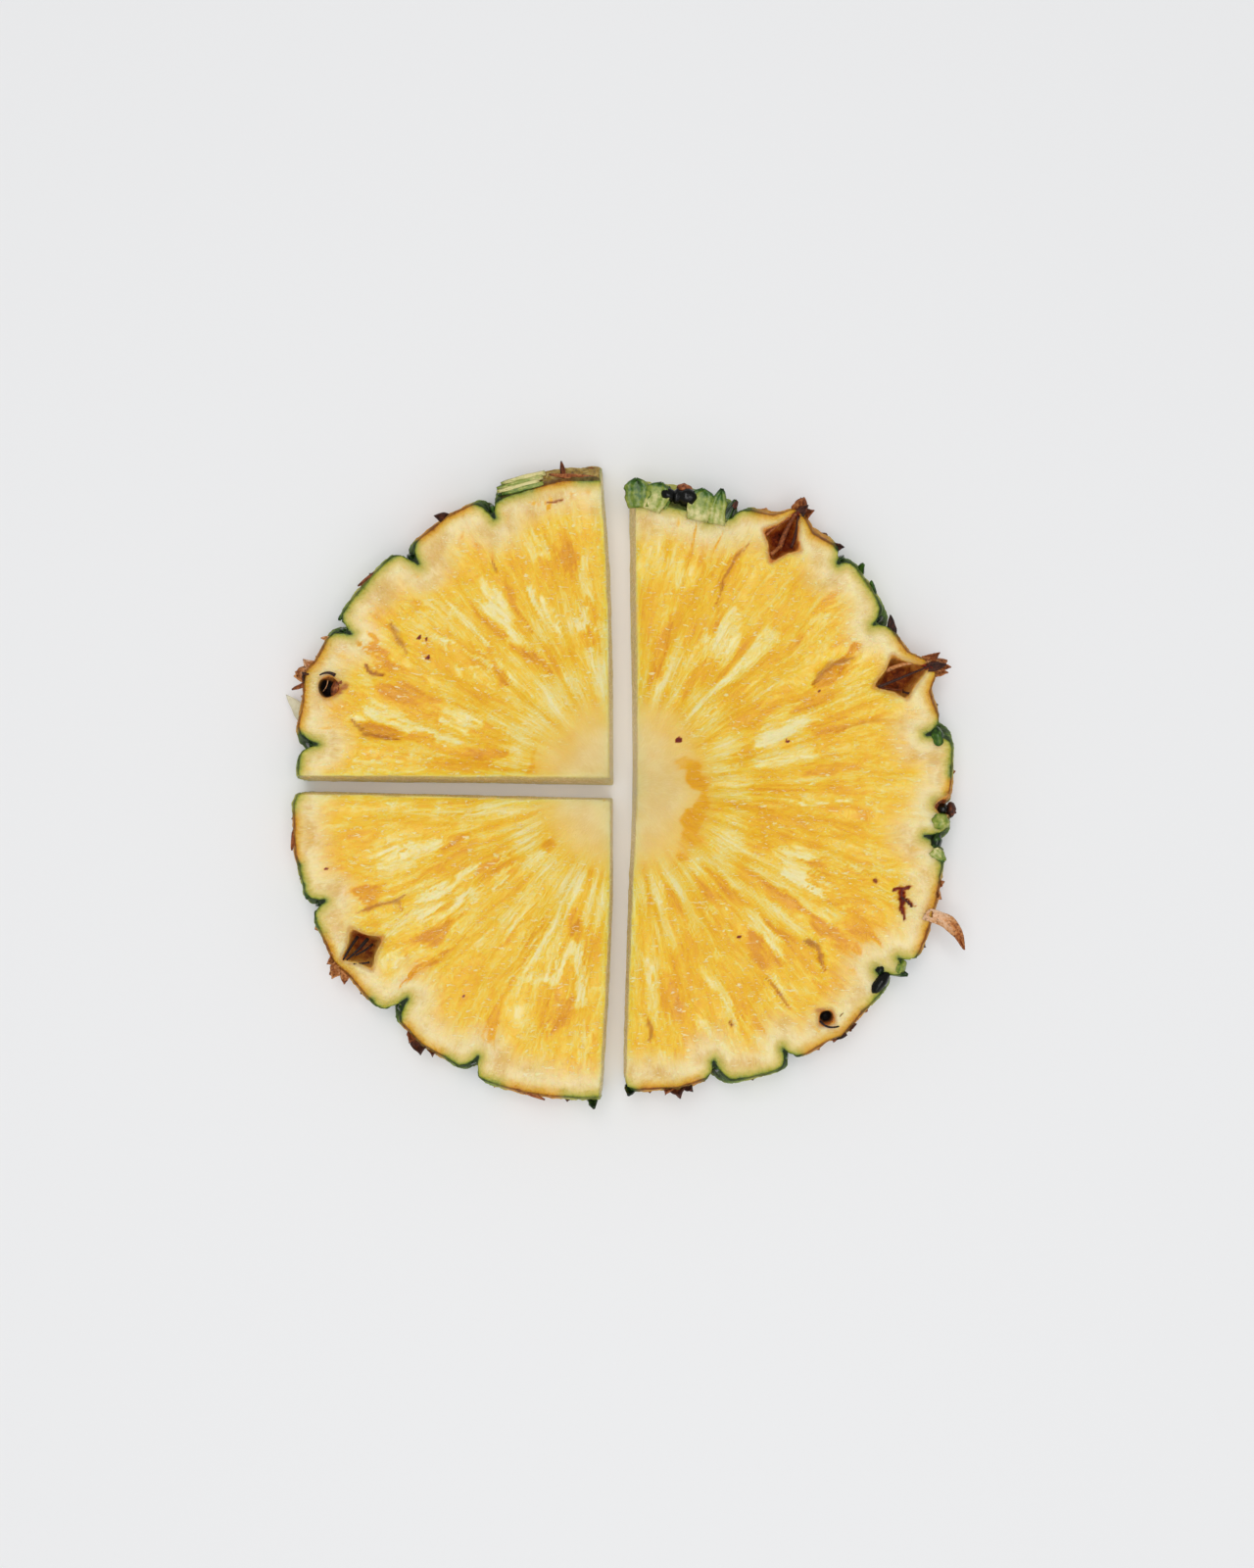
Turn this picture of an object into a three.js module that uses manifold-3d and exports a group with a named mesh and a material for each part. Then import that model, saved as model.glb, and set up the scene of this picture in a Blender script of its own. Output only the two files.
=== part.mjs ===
// A round slice of pineapple, rind on and core in, laid flat and cut into a half and two quarters.
//
// The three pieces lie as the whole slice, with narrow knife gaps between them. Millimetres, +Z up,
// the top cut face at the slice's thickness. Angles are degrees counter-clockwise from +X about
// the middle of the core. The rind is a chain of lobes, one for each fruitlet that the slice cuts,
// with a furrow between neighbours that wanders sideways on its way down. An "eye" is the pit
// under a fruitlet's dried flower.

import * as THREE from "three";
import { mergeVertices } from "three/addons/utils/BufferGeometryUtils.js";
import Module from "manifold-3d";

const wasm = await Module();
wasm.setup();

// ---------------------------------------------------------------- driving dimensions
const thickness = 12;
const levels = 7; // rings of points from the top face to the underside
const stepsPerLobe = 13;
const furrowWidth = 2.6; // from a furrow's bottom to the full height of its lobe
const belly = 0.9; // how far the middle of the rind stands out past its two edges
const eyeBeakWidth = 2.3; // degrees from an eye's beak to where it has sunk to a third
const trim = 6; // degrees of spare rind past each knife cut, which the cut takes off
const cutSteps = 12;
const aboveTop = 0.6; // how far a pit's cutter starts above the top face

const fleshColour = 0xe8bf55;

// A lobe runs from the last furrow to its own: "to" is that furrow's angle at the top face,
// "furrow" its radius there and "drift" the degrees it wanders by the underside. "crown" is the
// radius at the start and end of the lobe's back, "flare" how much further out the underside is,
// and "eye" the angle and height of its beak.
const pieces = {
  half: {
    from: { at: 270.2, furrow: 54.6, drift: 0 },
    lobes: [
      { to: 288.2, furrow: 53.0, drift: -2.5, crown: [55.5, 55.6], eye: [280.3, 0.4] },
      { to: 301.3, furrow: 56.3, drift: 1.5, crown: [57.0, 59.6] },
      { to: 324.0, furrow: 57.0, drift: 3.5, crown: [59.0, 60.6], eye: [312.0, 1.0] },
      { to: 327.9, furrow: 59.3, drift: 2.0, crown: [61.3, 61.8] },
      { to: 350.6, furrow: 55.8, drift: -2.0, crown: [62.4, 59.4] },
      { to: 356.7, furrow: 57.2, drift: -2.0, crown: [59.8, 59.6] },
      { to: 369.6, furrow: 56.1, drift: 4.0, crown: [59.5, 60.7] },
      { to: 392.8, furrow: 54.3, drift: -4.0, crown: [59.3, 56.4], eye: [381.0, 3.6] },
      { to: 406.0, furrow: 56.4, drift: 2.5, crown: [57.2, 58.6] },
      { to: 428.1, furrow: 52.8, drift: -2.0, crown: [58.9, 54.9], eye: [417.4, 3.4], flare: 0.8 },
      { to: 432.0, furrow: 50.9, drift: 1.5, crown: [52.6, 52.3], flare: 4.0 },
      { to: 449.0, furrow: 51.2, drift: 0, crown: [51.9, 51.6], flare: 4.8 },
    ],
    // Points of the cut from the rind back to the rind, and how far the wall leans out by the
    // underside at the first and the last of them.
    cuts: [
      { path: [[2.2, 60], [2.4, 30], [2.55, 0], [1.55, -23], [0.25, -60]], lean: [1.2, 0.5] },
    ],
    eyes: [
      { at: 57.0, radius: 53.4, reach: [5.6, 3.9, 4.5, 3.6], turn: 4, depth: 6.5, waist: 0.62 },
      { at: 21.4, radius: 54.2, reach: [5.6, 4.2, 5.0, 4.1], turn: -2, depth: 7.0, waist: 0.62 },
      { at: 311.4, radius: 56.1, reach: [1.6, 1.4, 1.3, 1.9], turn: 10, depth: 4.0, waist: 0.8 },
      { at: 356.2, radius: 58.6, reach: [2.4, 1.5, 1.5, 1.4], turn: 0, depth: 4.5, waist: 0.9 },
    ],
  },
  quarter_upper: {
    from: { at: 90.0, furrow: 55.0, drift: 0 },
    lobes: [
      { to: 115.7, furrow: 54.2, drift: -2.5, crown: [55.8, 57.3], eye: [101.5, 0.5], flare: 3.0 },
      { to: 132.7, furrow: 55.0, drift: 2.5, crown: [58.3, 58.5], eye: [123.6, 0.3] },
      { to: 150.8, furrow: 56.9, drift: -2.0, crown: [59.4, 60.3] },
      { to: 172.3, furrow: 56.2, drift: 2.5, crown: [60.3, 60.3], eye: [160.8, 1.4] },
      { to: 184.0, furrow: 58.0, drift: 0, crown: [59.3, 59.6] },
    ],
    cuts: [
      { path: [[-64, 1.9], [-34, 1.75], [-2.5, 1.55]], lean: [0.9, 1.5] },
      { path: [[-2.5, 1.55], [-2.6, 20], [-3.1, 40], [-4.6, 61]], lean: [0.7, 0.5] },
    ],
    eyes: [{ at: 161.3, radius: 56.8, reach: [1.5, 2.1, 2.1, 1.8], turn: 8, depth: 4.5, waist: 0.95 }],
  },
  quarter_lower: {
    from: { at: 180.3, furrow: 57.2, drift: 0 },
    lobes: [
      { to: 201.0, furrow: 58.3, drift: 2.0, crown: [60.0, 61.4], eye: [191.5, 0.3] },
      { to: 224.6, furrow: 55.3, drift: -2.5, crown: [61.5, 60.2], eye: [210.8, 0.9] },
      { to: 241.8, furrow: 55.9, drift: 2.0, crown: [59.2, 59.3], eye: [232.0, 0.5] },
      { to: 270.0, furrow: 56.0, drift: 0, crown: [59.8, 56.6] },
    ],
    cuts: [
      { path: [[-4.6, -61], [-3.3, -41], [-2.45, -22], [-2.3, -2.55]], lean: [0.5, 0.4] },
      { path: [[-2.3, -2.55], [-32, -2.0], [-64, -1.3]], lean: [0.3, 0.4] },
    ],
    eyes: [
      { at: 211.9, radius: 56.2, reach: [4.0, 4.1, 4.4, 4.1], turn: -4, depth: 6.0, waist: 0.62 },
    ],
  },
};

// ---------------------------------------------------------------- solids
const radians = THREE.MathUtils.degToRad;
const mix = THREE.MathUtils.lerp;

function polar(radius, degrees) {
  return new THREE.Vector2(radius * Math.cos(radians(degrees)), radius * Math.sin(radians(degrees)));
}

// One closed surface through rings of equally many points, the lowest ring first. Each ring is
// { z, points }, counter-clockwise from above.
function skin(rings) {
  const count = rings[0].points.length;
  const positions = rings.flatMap(({ z, points }) => points.flatMap((p) => [p.x, p.y, z]));
  const faces = [];
  for (let level = 0; level < rings.length - 1; level++) {
    for (let i = 0; i < count; i++) {
      const low = level * count + i;
      const next = level * count + ((i + 1) % count);
      faces.push(low, next, next + count, low, next + count, low + count);
    }
  }
  const top = (rings.length - 1) * count;
  for (const [a, b, c] of THREE.ShapeUtils.triangulateShape(rings[0].points, [])) {
    faces.push(a, c, b);
  }
  for (const [a, b, c] of THREE.ShapeUtils.triangulateShape(rings.at(-1).points, [])) {
    faces.push(top + a, top + b, top + c);
  }
  const geometry = new THREE.BufferGeometry();
  geometry.setAttribute("position", new THREE.Float32BufferAttribute(positions, 3));
  geometry.setIndex(faces);
  return geometry;
}

function solid(geometry) {
  const merged = mergeVertices(geometry, 1e-4);
  return new wasm.Manifold(
    new wasm.Mesh({
      numProp: 3,
      vertProperties: new Float32Array(merged.attributes.position.array),
      triVerts: new Uint32Array(merged.index.array),
    }),
  );
}

function geometryOf(manifold) {
  const { vertProperties, triVerts } = manifold.getMesh();
  const geometry = new THREE.BufferGeometry();
  geometry.setAttribute("position", new THREE.BufferAttribute(vertProperties, 3));
  geometry.setIndex(new THREE.BufferAttribute(triVerts, 1));
  return geometry;
}

// ---------------------------------------------------------------- rind
// How much of its height a lobe has reached at a distance from its furrow's bottom.
function rise(distance) {
  const share = Math.min(Math.max(distance, 0) / furrowWidth, 1);
  return Math.pow(1 - (1 - share) ** 2, 0.7);
}

// The rind's outline at a share of the way down, from 0 at the top face to 1 at the underside.
function rindOutline({ from, lobes }, down) {
  const points = [];
  let start = from;
  for (const lobe of lobes) {
    const first = start.at + start.drift * down;
    const last = lobe.to + lobe.drift * down;
    for (let i = 0; i < stepsPerLobe; i++) {
      const share = (1 - Math.cos((Math.PI * i) / stepsPerLobe)) / 2; // closer together at the furrows
      const angle = mix(first, last, share);
      const arc = radians(last - first) * lobe.crown[0];
      const height = rise(share * arc) * rise((1 - share) * arc);
      const furrow = mix(start.furrow, lobe.furrow, share);
      const [eyeAngle, beak] = lobe.eye ?? [angle, 0];
      const tip = beak * Math.exp(-(((angle - eyeAngle) / eyeBeakWidth) ** 2)) * (1 - 0.8 * down);
      const flare = (lobe.flare ?? 0) * Math.sin((Math.PI * down) / 2);
      const crown = mix(...lobe.crown, share) + tip + flare + belly * Math.sin(Math.PI * down);
      points.push(polar(mix(furrow, crown, height), angle));
    }
    start = { at: lobe.to, furrow: lobe.furrow, drift: lobe.drift };
  }
  points.push(polar(start.furrow, start.at + start.drift * down));
  points.push(new THREE.Vector2(0, 0).addScaledVector(points[0].clone().add(points.at(-1)), -0.2));
  return points;
}

// ---------------------------------------------------------------- knife cuts
// The region that a piece's cuts leave, at a share of the way down: the cuts' own lines, leaning
// outwards, closed by a wide arc past the rind.
function cutOutline({ from, lobes, cuts }, down) {
  const points = [];
  for (const { path, lean } of cuts) {
    const curve = new THREE.SplineCurve(path.map(([x, y]) => new THREE.Vector2(x, y)));
    for (let i = 0; i < cutSteps; i++) {
      const share = i / (cutSteps - 1);
      const along = curve.getTangent(share);
      const out = new THREE.Vector2(along.y, -along.x);
      points.push(curve.getPoint(share).addScaledVector(out, mix(...lean, share) * down));
    }
  }
  return mergeCorners(points).concat(wideArc(from.at, lobes.at(-1).to));
}

// Where two cuts meet, their leaning lines cross or part: the corner is their crossing.
function mergeCorners(points) {
  const merged = [];
  for (let i = 0; i < points.length; i++) {
    const corner = i % cutSteps === 0 && i > 0;
    if (!corner) {
      merged.push(points[i]);
      continue;
    }
    const [a, b] = [points[i - 2], points[i - 1]];
    const [c, d] = [points[i], points[i + 1]];
    const first = b.clone().sub(a);
    const second = d.clone().sub(c);
    const share = c.clone().sub(a).cross(second) / first.cross(second);
    merged[merged.length - 1] = a.clone().addScaledVector(first, share);
  }
  return merged;
}

function wideArc(first, last) {
  const arc = new THREE.EllipseCurve(0, 0, 90, 90, radians(first + trim), radians(last - trim));
  return arc.getPoints(8);
}

// ---------------------------------------------------------------- eyes
// A pit with four points, the first towards the rind. Waist is how full its sides are: 1 is
// round, and less is a star with hollow sides.
function eyePit({ at, radius, reach, turn, depth, waist }) {
  const sides = 24;
  const middle = polar(radius, at);
  const steps = [
    { share: 1, size: 0.12 },
    { share: 0.8, size: 0.62 },
    { share: 0.4, size: 0.92 },
    { share: 0, size: 1 },
    { share: -aboveTop / depth, size: 1 },
  ];
  return skin(
    steps.map(({ share, size }) => ({
      z: thickness - share * depth,
      points: Array.from({ length: sides }, (_, i) => {
        const quarter = (4 * i) / sides;
        const corner = Math.floor(quarter);
        const between = quarter - corner;
        const length = mix(reach[corner], reach[(corner + 1) % 4], between);
        const hollow = 1 - (1 - waist) * Math.sin(Math.PI * between) ** 0.8;
        return polar(length * hollow * size, at + turn + quarter * 90).add(middle);
      }),
    })),
  );
}

// ---------------------------------------------------------------- pieces
function buildPiece(name, piece) {
  const downs = Array.from({ length: levels }, (_, i) => 1 - i / (levels - 1));
  const rings = (outline) => downs.map((down) => ({ z: thickness * (1 - down), points: outline(piece, down) }));
  let body = solid(skin(rings(rindOutline))).intersect(solid(skin(rings(cutOutline))));
  for (const eye of piece.eyes) {
    body = body.subtract(solid(eyePit(eye)));
  }
  const material = new THREE.MeshStandardMaterial({ color: fleshColour, roughness: 0.35, metalness: 0 });
  const mesh = new THREE.Mesh(geometryOf(body), material);
  mesh.name = name;
  return mesh;
}

const slice = new THREE.Group();
for (const [name, piece] of Object.entries(pieces)) {
  slice.add(buildPiece(name, piece));
}

// The origin is the middle of the slice's own box, on the underside.
const middle = new THREE.Box3().setFromObject(slice).getCenter(new THREE.Vector3());
slice.position.set(-middle.x, -middle.y, 0);

export default slice;
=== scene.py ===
# A round slice of pineapple, rind on and core in, cut into a half and two quarters that lie
# together on a pale table. Everything is in metres in the frame's own axes; the settings below
# are in millimetres and in degrees about the middle of the core.
import bpy, bmesh, math
import numpy as np
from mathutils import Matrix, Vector, noise
from mathutils.bvhtree import BVHTree


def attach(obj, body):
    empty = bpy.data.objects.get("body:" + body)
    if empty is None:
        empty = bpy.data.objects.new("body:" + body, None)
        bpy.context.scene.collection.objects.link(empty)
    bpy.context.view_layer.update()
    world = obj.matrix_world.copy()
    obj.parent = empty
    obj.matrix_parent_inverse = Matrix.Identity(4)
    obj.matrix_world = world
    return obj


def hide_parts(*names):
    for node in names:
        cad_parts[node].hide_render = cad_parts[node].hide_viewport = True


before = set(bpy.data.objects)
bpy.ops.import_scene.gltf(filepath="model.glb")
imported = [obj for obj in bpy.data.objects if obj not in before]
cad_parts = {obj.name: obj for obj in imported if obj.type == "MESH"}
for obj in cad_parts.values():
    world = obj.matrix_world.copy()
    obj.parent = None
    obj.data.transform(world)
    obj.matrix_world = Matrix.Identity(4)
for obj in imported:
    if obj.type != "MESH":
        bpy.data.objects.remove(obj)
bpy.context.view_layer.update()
mm = 0.001
coreAt = (0.058, -0.693)  # the core's middle in the frame
topAt = 12.0  # height of the top cut face
print("frame loaded")

view = {
    "height": 396.8,  # above the top cut face
    "at": (0.77, -0.34),
    "lens": 50,
    "sensor": 36,
}


def aimAt(thing, target):
    thing.rotation_mode = "QUATERNION"
    thing.rotation_quaternion = (target - thing.location).to_track_quat("-Z", "Y")


camera = bpy.data.objects.new("camera", bpy.data.cameras.new("camera"))
camera.data.lens, camera.data.sensor_width = view["lens"], view["sensor"]
camera.location = Vector((*view["at"], topAt + view["height"])) * mm
bpy.context.scene.collection.objects.link(camera)
bpy.context.scene.camera = camera
bpy.context.scene.view_settings.view_transform = "Standard"
print("camera set")


class Wire:  # one output socket, with arithmetic that adds Math nodes
    def __init__(self, board, socket):
        self.board, self.socket = board, socket

    def maths(self, operation, *others):
        return self.board.add("ShaderNodeMath", {"operation": operation}, dict(enumerate(others)))

    def __add__(self, other):
        return self.maths("ADD", self, other)

    def __sub__(self, other):
        return self.maths("SUBTRACT", self, other)

    def __rsub__(self, other):
        return self.maths("SUBTRACT", other, self)

    def __mul__(self, other):
        return self.maths("MULTIPLY", self, other)

    __radd__, __rmul__ = __add__, __mul__  # either order gives the same

    def ease(self, low, high):  # 0 at low, 1 at high, with soft ends
        settings = {"interpolation_type": "SMOOTHSTEP"}
        return self.board.add("ShaderNodeMapRange", settings, {0: self, 1: low, 2: high})

    def clamped(self):
        return self.board.add("ShaderNodeClamp", {}, {0: self})


class Board:  # one material's nodes
    def __init__(self, name):
        self.material = bpy.data.materials.new(name)
        self.material.use_nodes = True
        self.tree = self.material.node_tree
        self.shader = self.tree.nodes["Principled BSDF"]

    def add(self, kind, settings={}, sockets={}, output=0):
        node = self.tree.nodes.new(kind)
        for key, value in settings.items():
            if key == "stops":
                ramp = node.color_ramp
                while len(ramp.elements) < len(value):
                    ramp.elements.new(0.5)
                for element, (place, colour) in zip(ramp.elements, value):
                    element.position, element.color = place, rgb(colour)
            else:
                setattr(node, key, value)
        for key, value in sockets.items():
            self.feed(node.inputs[key], value)
        return Wire(self, node.outputs[output])

    def feed(self, socket, value):
        if isinstance(value, Wire):
            self.tree.links.new(value.socket, socket)
        else:
            socket.default_value = value

    def finish(self, **sockets):  # names as on the shader, without spaces
        for socket in self.shader.inputs:
            name = socket.name.replace(" ", "")
            if name in sockets:
                self.feed(socket, sockets.pop(name))
        assert not sockets, sockets
        return self.material

    def number(self, name):
        return self.add("ShaderNodeAttribute", {"attribute_name": name}, output=2)

    def vector(self, name):
        return self.add("ShaderNodeAttribute", {"attribute_name": name}, output=1)

    def place(self):  # Object coordinates in millimetres
        return self.stretched(self.add("ShaderNodeTexCoord", output=3), (1000, 1000, 1000))

    def stretched(self, vector, factors):
        return self.add("ShaderNodeVectorMath", {"operation": "MULTIPLY"}, {0: vector, 1: factors})

    def speckle(self, vector, scale, detail=2.0, roughness=0.5, distortion=0.0):
        sockets = {"Vector": vector, "Scale": scale, "Detail": detail, "Roughness": roughness}
        return self.add("ShaderNodeTexNoise", {}, {**sockets, "Distortion": distortion})

    def mixed(self, factor, first, second):  # two colours
        sockets = {0: factor, 6: rgb(first), 7: rgb(second)}
        return self.add("ShaderNodeMix", {"data_type": "RGBA"}, sockets, output=2)

    def ramp(self, factor, *stops):
        return self.add("ShaderNodeValToRGB", {"stops": stops}, {0: factor})

    def bump(self, height, distance, strength=1.0):
        sockets = {"Strength": strength, "Distance": distance * mm, "Height": height}
        return self.add("ShaderNodeBump", {}, sockets)


def rgb(colour):  # "f0d796" as scene-linear red, green, blue and alpha
    if not isinstance(colour, str):
        return colour
    parts = [int(colour[i:i + 2], 16) / 255 for i in (0, 2, 4)]
    return (*[p / 12.92 if p <= 0.04045 else ((p + 0.055) / 1.055) ** 2.4 for p in parts], 1.0)


# Each stroke: angle and radius at its outer end, angle and radius at its inner end, width in
# millimetres, and how strong. Over 0 is a juicy amber streak, under 0 an opaque cream one.
strokes = [
    # half, from the lower corner up
    (-77, 42.5, -78, 36, 6, 0.8), (-71, 41, -70, 29, 5, 0.5), (-82, 45, -82.5, 31, 2.2, -0.55),
    (-74.5, 31.5, -75, 26, 4, -0.45), (-80.5, 27, -77, 20.5, 1.5, 0.7),
    (-67.5, 26.5, -66.8, 20.5, 1.6, 0.7), (-84, 46.8, -84, 42, 0.9, 0.9),
    (-84.5, 33, -84.5, 31, 1.6, -0.9), (-81, 54.5, -81, 52, 1.4, 0.6),
    (-70, 50.5, -71.5, 45.5, 1.4, -0.7), (-65, 50, -65.5, 38.5, 2.4, -0.75),
    (-63, 49.5, -62.8, 43.5, 1.6, 0.7), (-60.5, 42.5, -61, 36.5, 4, 0.35),
    (-57.5, 38, -61.5, 33.5, 1.8, -0.5), (-65, 56, -63, 56, 1.2, 0.4), (-49.3, 44.5, -49, 35.6, 4.4, 1),
    (-51.2, 47, -51, 43.6, 1, -0.9), (-46.8, 43, -45.3, 31, 2, -0.8), (-42.6, 50, -43, 36, 2.4, 0.8),
    (-53.4, 50.5, -52.8, 43.5, 0.9, 0.75), (-47.3, 28.3, -47.5, 20, 4.4, 0.75),
    (-53.4, 29, -53.4, 26, 0.9, -0.8), (-50.3, 29.6, -50.3, 27.6, 1.5, -0.6),
    (-43, 28.3, -43.4, 26.6, 1.4, -0.7), (-40.8, 29.5, -41.2, 23, 1, -0.75),
    (-38.5, 45, -39, 30, 1.8, -0.45), (-35.2, 52, -35, 41, 2.2, 0.9), (-34.9, 41, -35.6, 25.5, 2, 0.65),
    (-31.5, 49.5, -33.3, 39, 1.5, -0.6), (-33.3, 39, -30.6, 29, 1.4, -0.65),
    (-27.5, 50, -26.5, 38, 6, 0.6), (-22.5, 42.5, -22.5, 36.5, 3.6, 0.85),
    (-28.8, 39.8, -23.6, 30.2, 2.6, -0.95), (-19, 39.5, -22, 31, 1.9, -0.8),
    (-25, 37.4, -23, 31, 3.4, -0.7), (-24.2, 53, -22.6, 51.4, 1.6, -0.7),
    (-29.6, 48.6, -29.3, 45.6, 0.9, -0.8), (-19.4, 48.8, -19, 43, 0.8, -0.8),
    (-15.6, 50, -15.8, 44, 1.6, 0.5), (-17.8, 52, -17.6, 48.5, 1.2, -0.5), (-24, 28.5, -24, 26, 7, 0.5),
    (-24, 24, -24, 19, 8, -0.5), (-12.3, 44, -11.8, 22, 0.9, 0.55), (-10.5, 45, -10.2, 20, 0.8, 0.5),
    (-8.6, 45, -8.4, 22, 0.9, 0.55), (-6.8, 44, -6.8, 24, 0.8, 0.45), (-4.5, 43.5, -4.4, 30, 0.6, -0.9),
    (-1.5, 45, -2, 20, 1.2, 0.5), (1, 45, 0.5, 24, 0.9, 0.5), (4.6, 45.5, 4.2, 33, 1.5, 0.75),
    (6.5, 42, 6, 22, 0.8, -0.4), (16.6, 46, 16.5, 35, 3.2, 0.85), (14.4, 50, 15, 38, 0.9, 0.7),
    (19, 50, 24, 46, 5, -0.55), (28.7, 47.5, 28.6, 41, 2.6, 1), (25.4, 44, 24.8, 34, 3.6, 0.6),
    (21.4, 47.5, 21, 30.6, 0.9, -0.8), (9.2, 34, 8.8, 26.5, 2, -0.6),
    (19.8, 33.6, 17.4, 26.4, 2.4, -0.9), (24.2, 33, 22.6, 28, 2.3, -0.8), (15, 26, 14, 20.5, 4.6, 0.75),
    (12.4, 51.6, 14, 49, 0.9, 0.5), (30.5, 40, 27.8, 27, 1, -0.5), (40, 51, 39.8, 40, 1.7, 0.85),
    (33.3, 50, 33.6, 46.5, 1.7, 0.6), (41.5, 53, 41.5, 51, 4.5, 0.45), (41, 38.5, 40, 25, 2.4, 0.55),
    (34.5, 33, 33, 20, 5, 0.45), (36, 50, 36.4, 43, 0.9, 0.4), (49.4, 50.6, 49.2, 45.4, 2, 0.7),
    (61.5, 45.6, 61.5, 43, 1.6, 0.6), (55.8, 38.4, 54.6, 28, 4.2, -0.85),
    (45, 41, 45.6, 26, 2.6, -0.65), (52, 47, 51.6, 42, 4, -0.4), (60.8, 39.3, 60.4, 34, 1.8, 0.7),
    (49.4, 36, 49.6, 27.4, 1.4, 0.7), (57.6, 26.5, 57.4, 20.6, 2.2, 0.65),
    (62.2, 34, 57.4, 26.6, 1, -0.6), (68.5, 50, 69, 44, 2.4, 0.75), (80, 50.5, 80.6, 43, 2.6, 0.5),
    (75.4, 50, 75.6, 42, 1.8, 0.6), (72.6, 48, 72.2, 41, 1.4, 0.55), (62.8, 49, 63.2, 39, 2.4, 0.7),
    (84, 48, 84, 36, 2.4, -0.5), (78, 42.6, 78, 38, 9, -0.6), (75.6, 33, 70.4, 20.4, 1.2, 0.8),
    (75.6, 31, 73.2, 20, 1.1, 0.75), (76.2, 29, 75.6, 20, 1, 0.6), (67.2, 28.6, 67.4, 23.4, 2.6, -0.55),
    (76, 39, 76, 35.6, 3, 0.4),
    # upper quarter
    (104.5, 45.8, 104.8, 40, 5.6, 0.85), (99.6, 44, 99.8, 34, 2.2, -0.65),
    (104.2, 34, 104.2, 28.6, 6, -0.8), (97.8, 35.6, 101, 27.6, 1, 0.65),
    (104.2, 27.8, 104.2, 25.6, 5, 0.75), (110, 48.6, 110.6, 43.6, 1.6, -0.7),
    (116.2, 41.6, 113.6, 31.2, 1.3, -0.9), (111, 43, 110, 35, 3, 0.45),
    (117.4, 29.6, 117.2, 24, 1.2, 0.55), (120.5, 51, 120.6, 48.6, 2.6, 0.5),
    (120.2, 45, 123, 28, 1, 0.85), (123.6, 44, 128, 31, 2.6, -0.85), (128.4, 42.6, 130, 34, 1.5, 0.8),
    (122.6, 32.6, 122.6, 27.2, 2.2, -0.55), (127.6, 30.4, 124.6, 25.4, 1.8, 0.9),
    (129, 53, 129, 50.2, 5, 0.4), (133.4, 51, 134.4, 36.6, 1.1, -0.9),
    (134.6, 36.6, 143, 31.6, 1, -0.7), (142, 45.2, 139.4, 34.2, 0.9, -0.9),
    (143.6, 39, 145, 30.6, 0.8, -0.75), (139.4, 51.4, 139.4, 49.4, 2.2, 0.75),
    (131.6, 50, 131.8, 36, 1.6, 0.35), (152.8, 44, 152.4, 32, 1.2, 0.5),
    (150.4, 54.6, 152.6, 48, 1.9, 0.9), (135, 35.6, 139.2, 26.8, 2.3, 0.9),
    (146.8, 43, 147, 35, 5, 0.15), (137, 43, 137, 38, 2.2, -0.5), (157.6, 47, 158.2, 35, 3.6, 0.75),
    (161.4, 47.4, 164.6, 32, 2.2, -0.85), (158.4, 35, 158.6, 27.6, 2.8, -0.8),
    (167, 50.6, 167.2, 41.6, 2.9, 1), (165.4, 49.6, 165.4, 48.2, 1.8, -1),
    (166.6, 43.6, 166.4, 35.6, 2.2, 0.8), (164.6, 35.6, 164.4, 30.8, 2.6, -0.75),
    (170, 35.4, 170, 30.8, 0.9, -0.7), (160, 28, 159.6, 23, 4.4, 0.6),
    (165.4, 27.4, 166, 22.6, 3.6, 0.85), (166, 21.4, 166, 18.2, 5, -0.5),
    (172.6, 42, 172.4, 33, 0.7, -0.7), (174.2, 51, 173.6, 36, 0.7, -0.7),
    (175.6, 48, 175, 30, 0.8, -0.6), (173.4, 46, 173.2, 30, 0.7, 0.5), (125, 56, 125, 52.5, 7, 0.5),
    (146, 56, 146, 52.5, 6, 0.5), (97, 56.5, 97.5, 53.4, 9, 0.6), (106.5, 55.8, 106, 53, 8, 0.7),
    (153.6, 48, 154, 28, 1.6, 0.35), (108, 30, 107, 22, 1.2, -0.5), (119, 24, 120, 20, 4, -0.3),
    # lower quarter
    (192, 51.8, 192, 48.6, 5, 0.6), (197, 48, 198.4, 36, 2.6, -0.7), (194.6, 46, 196.4, 39, 0.7, -0.9),
    (201.2, 54, 203, 46.8, 2.1, 1), (203.4, 46.6, 203.6, 34, 1.5, 0.65),
    (199.5, 35.6, 199.8, 28.6, 3.4, 0.6), (187, 34, 191, 23, 1.8, -0.5), (190, 42, 191, 32, 1.6, 0.45),
    (185.6, 46, 186.4, 34, 1, -0.5), (210, 51, 210.4, 44, 5, -0.6), (208, 42, 210.6, 30.6, 1.4, -0.9),
    (212.2, 46, 216.2, 32, 2.2, -0.95), (218.6, 47.8, 218.4, 39, 3.2, 0.95),
    (214.2, 42.6, 213.8, 38, 1.2, 0.8), (218.6, 53.2, 218.2, 49.8, 2, -0.75),
    (221.6, 54, 221.8, 52.2, 1.5, 0.9), (222.4, 52.2, 224.2, 42, 0.9, 0.75),
    (213.6, 30.4, 213.6, 24, 6, 0.6), (216.2, 29.6, 218, 25, 0.9, -0.85),
    (211, 28, 213, 24.6, 0.8, -0.7), (232.6, 49, 232.6, 43.6, 5, 0.35), (232, 35, 232.2, 27, 0.6, -0.7),
    (233.4, 38, 233.4, 27, 0.8, 0.5), (228.6, 38, 228.6, 30, 1.4, 0.3),
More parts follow.
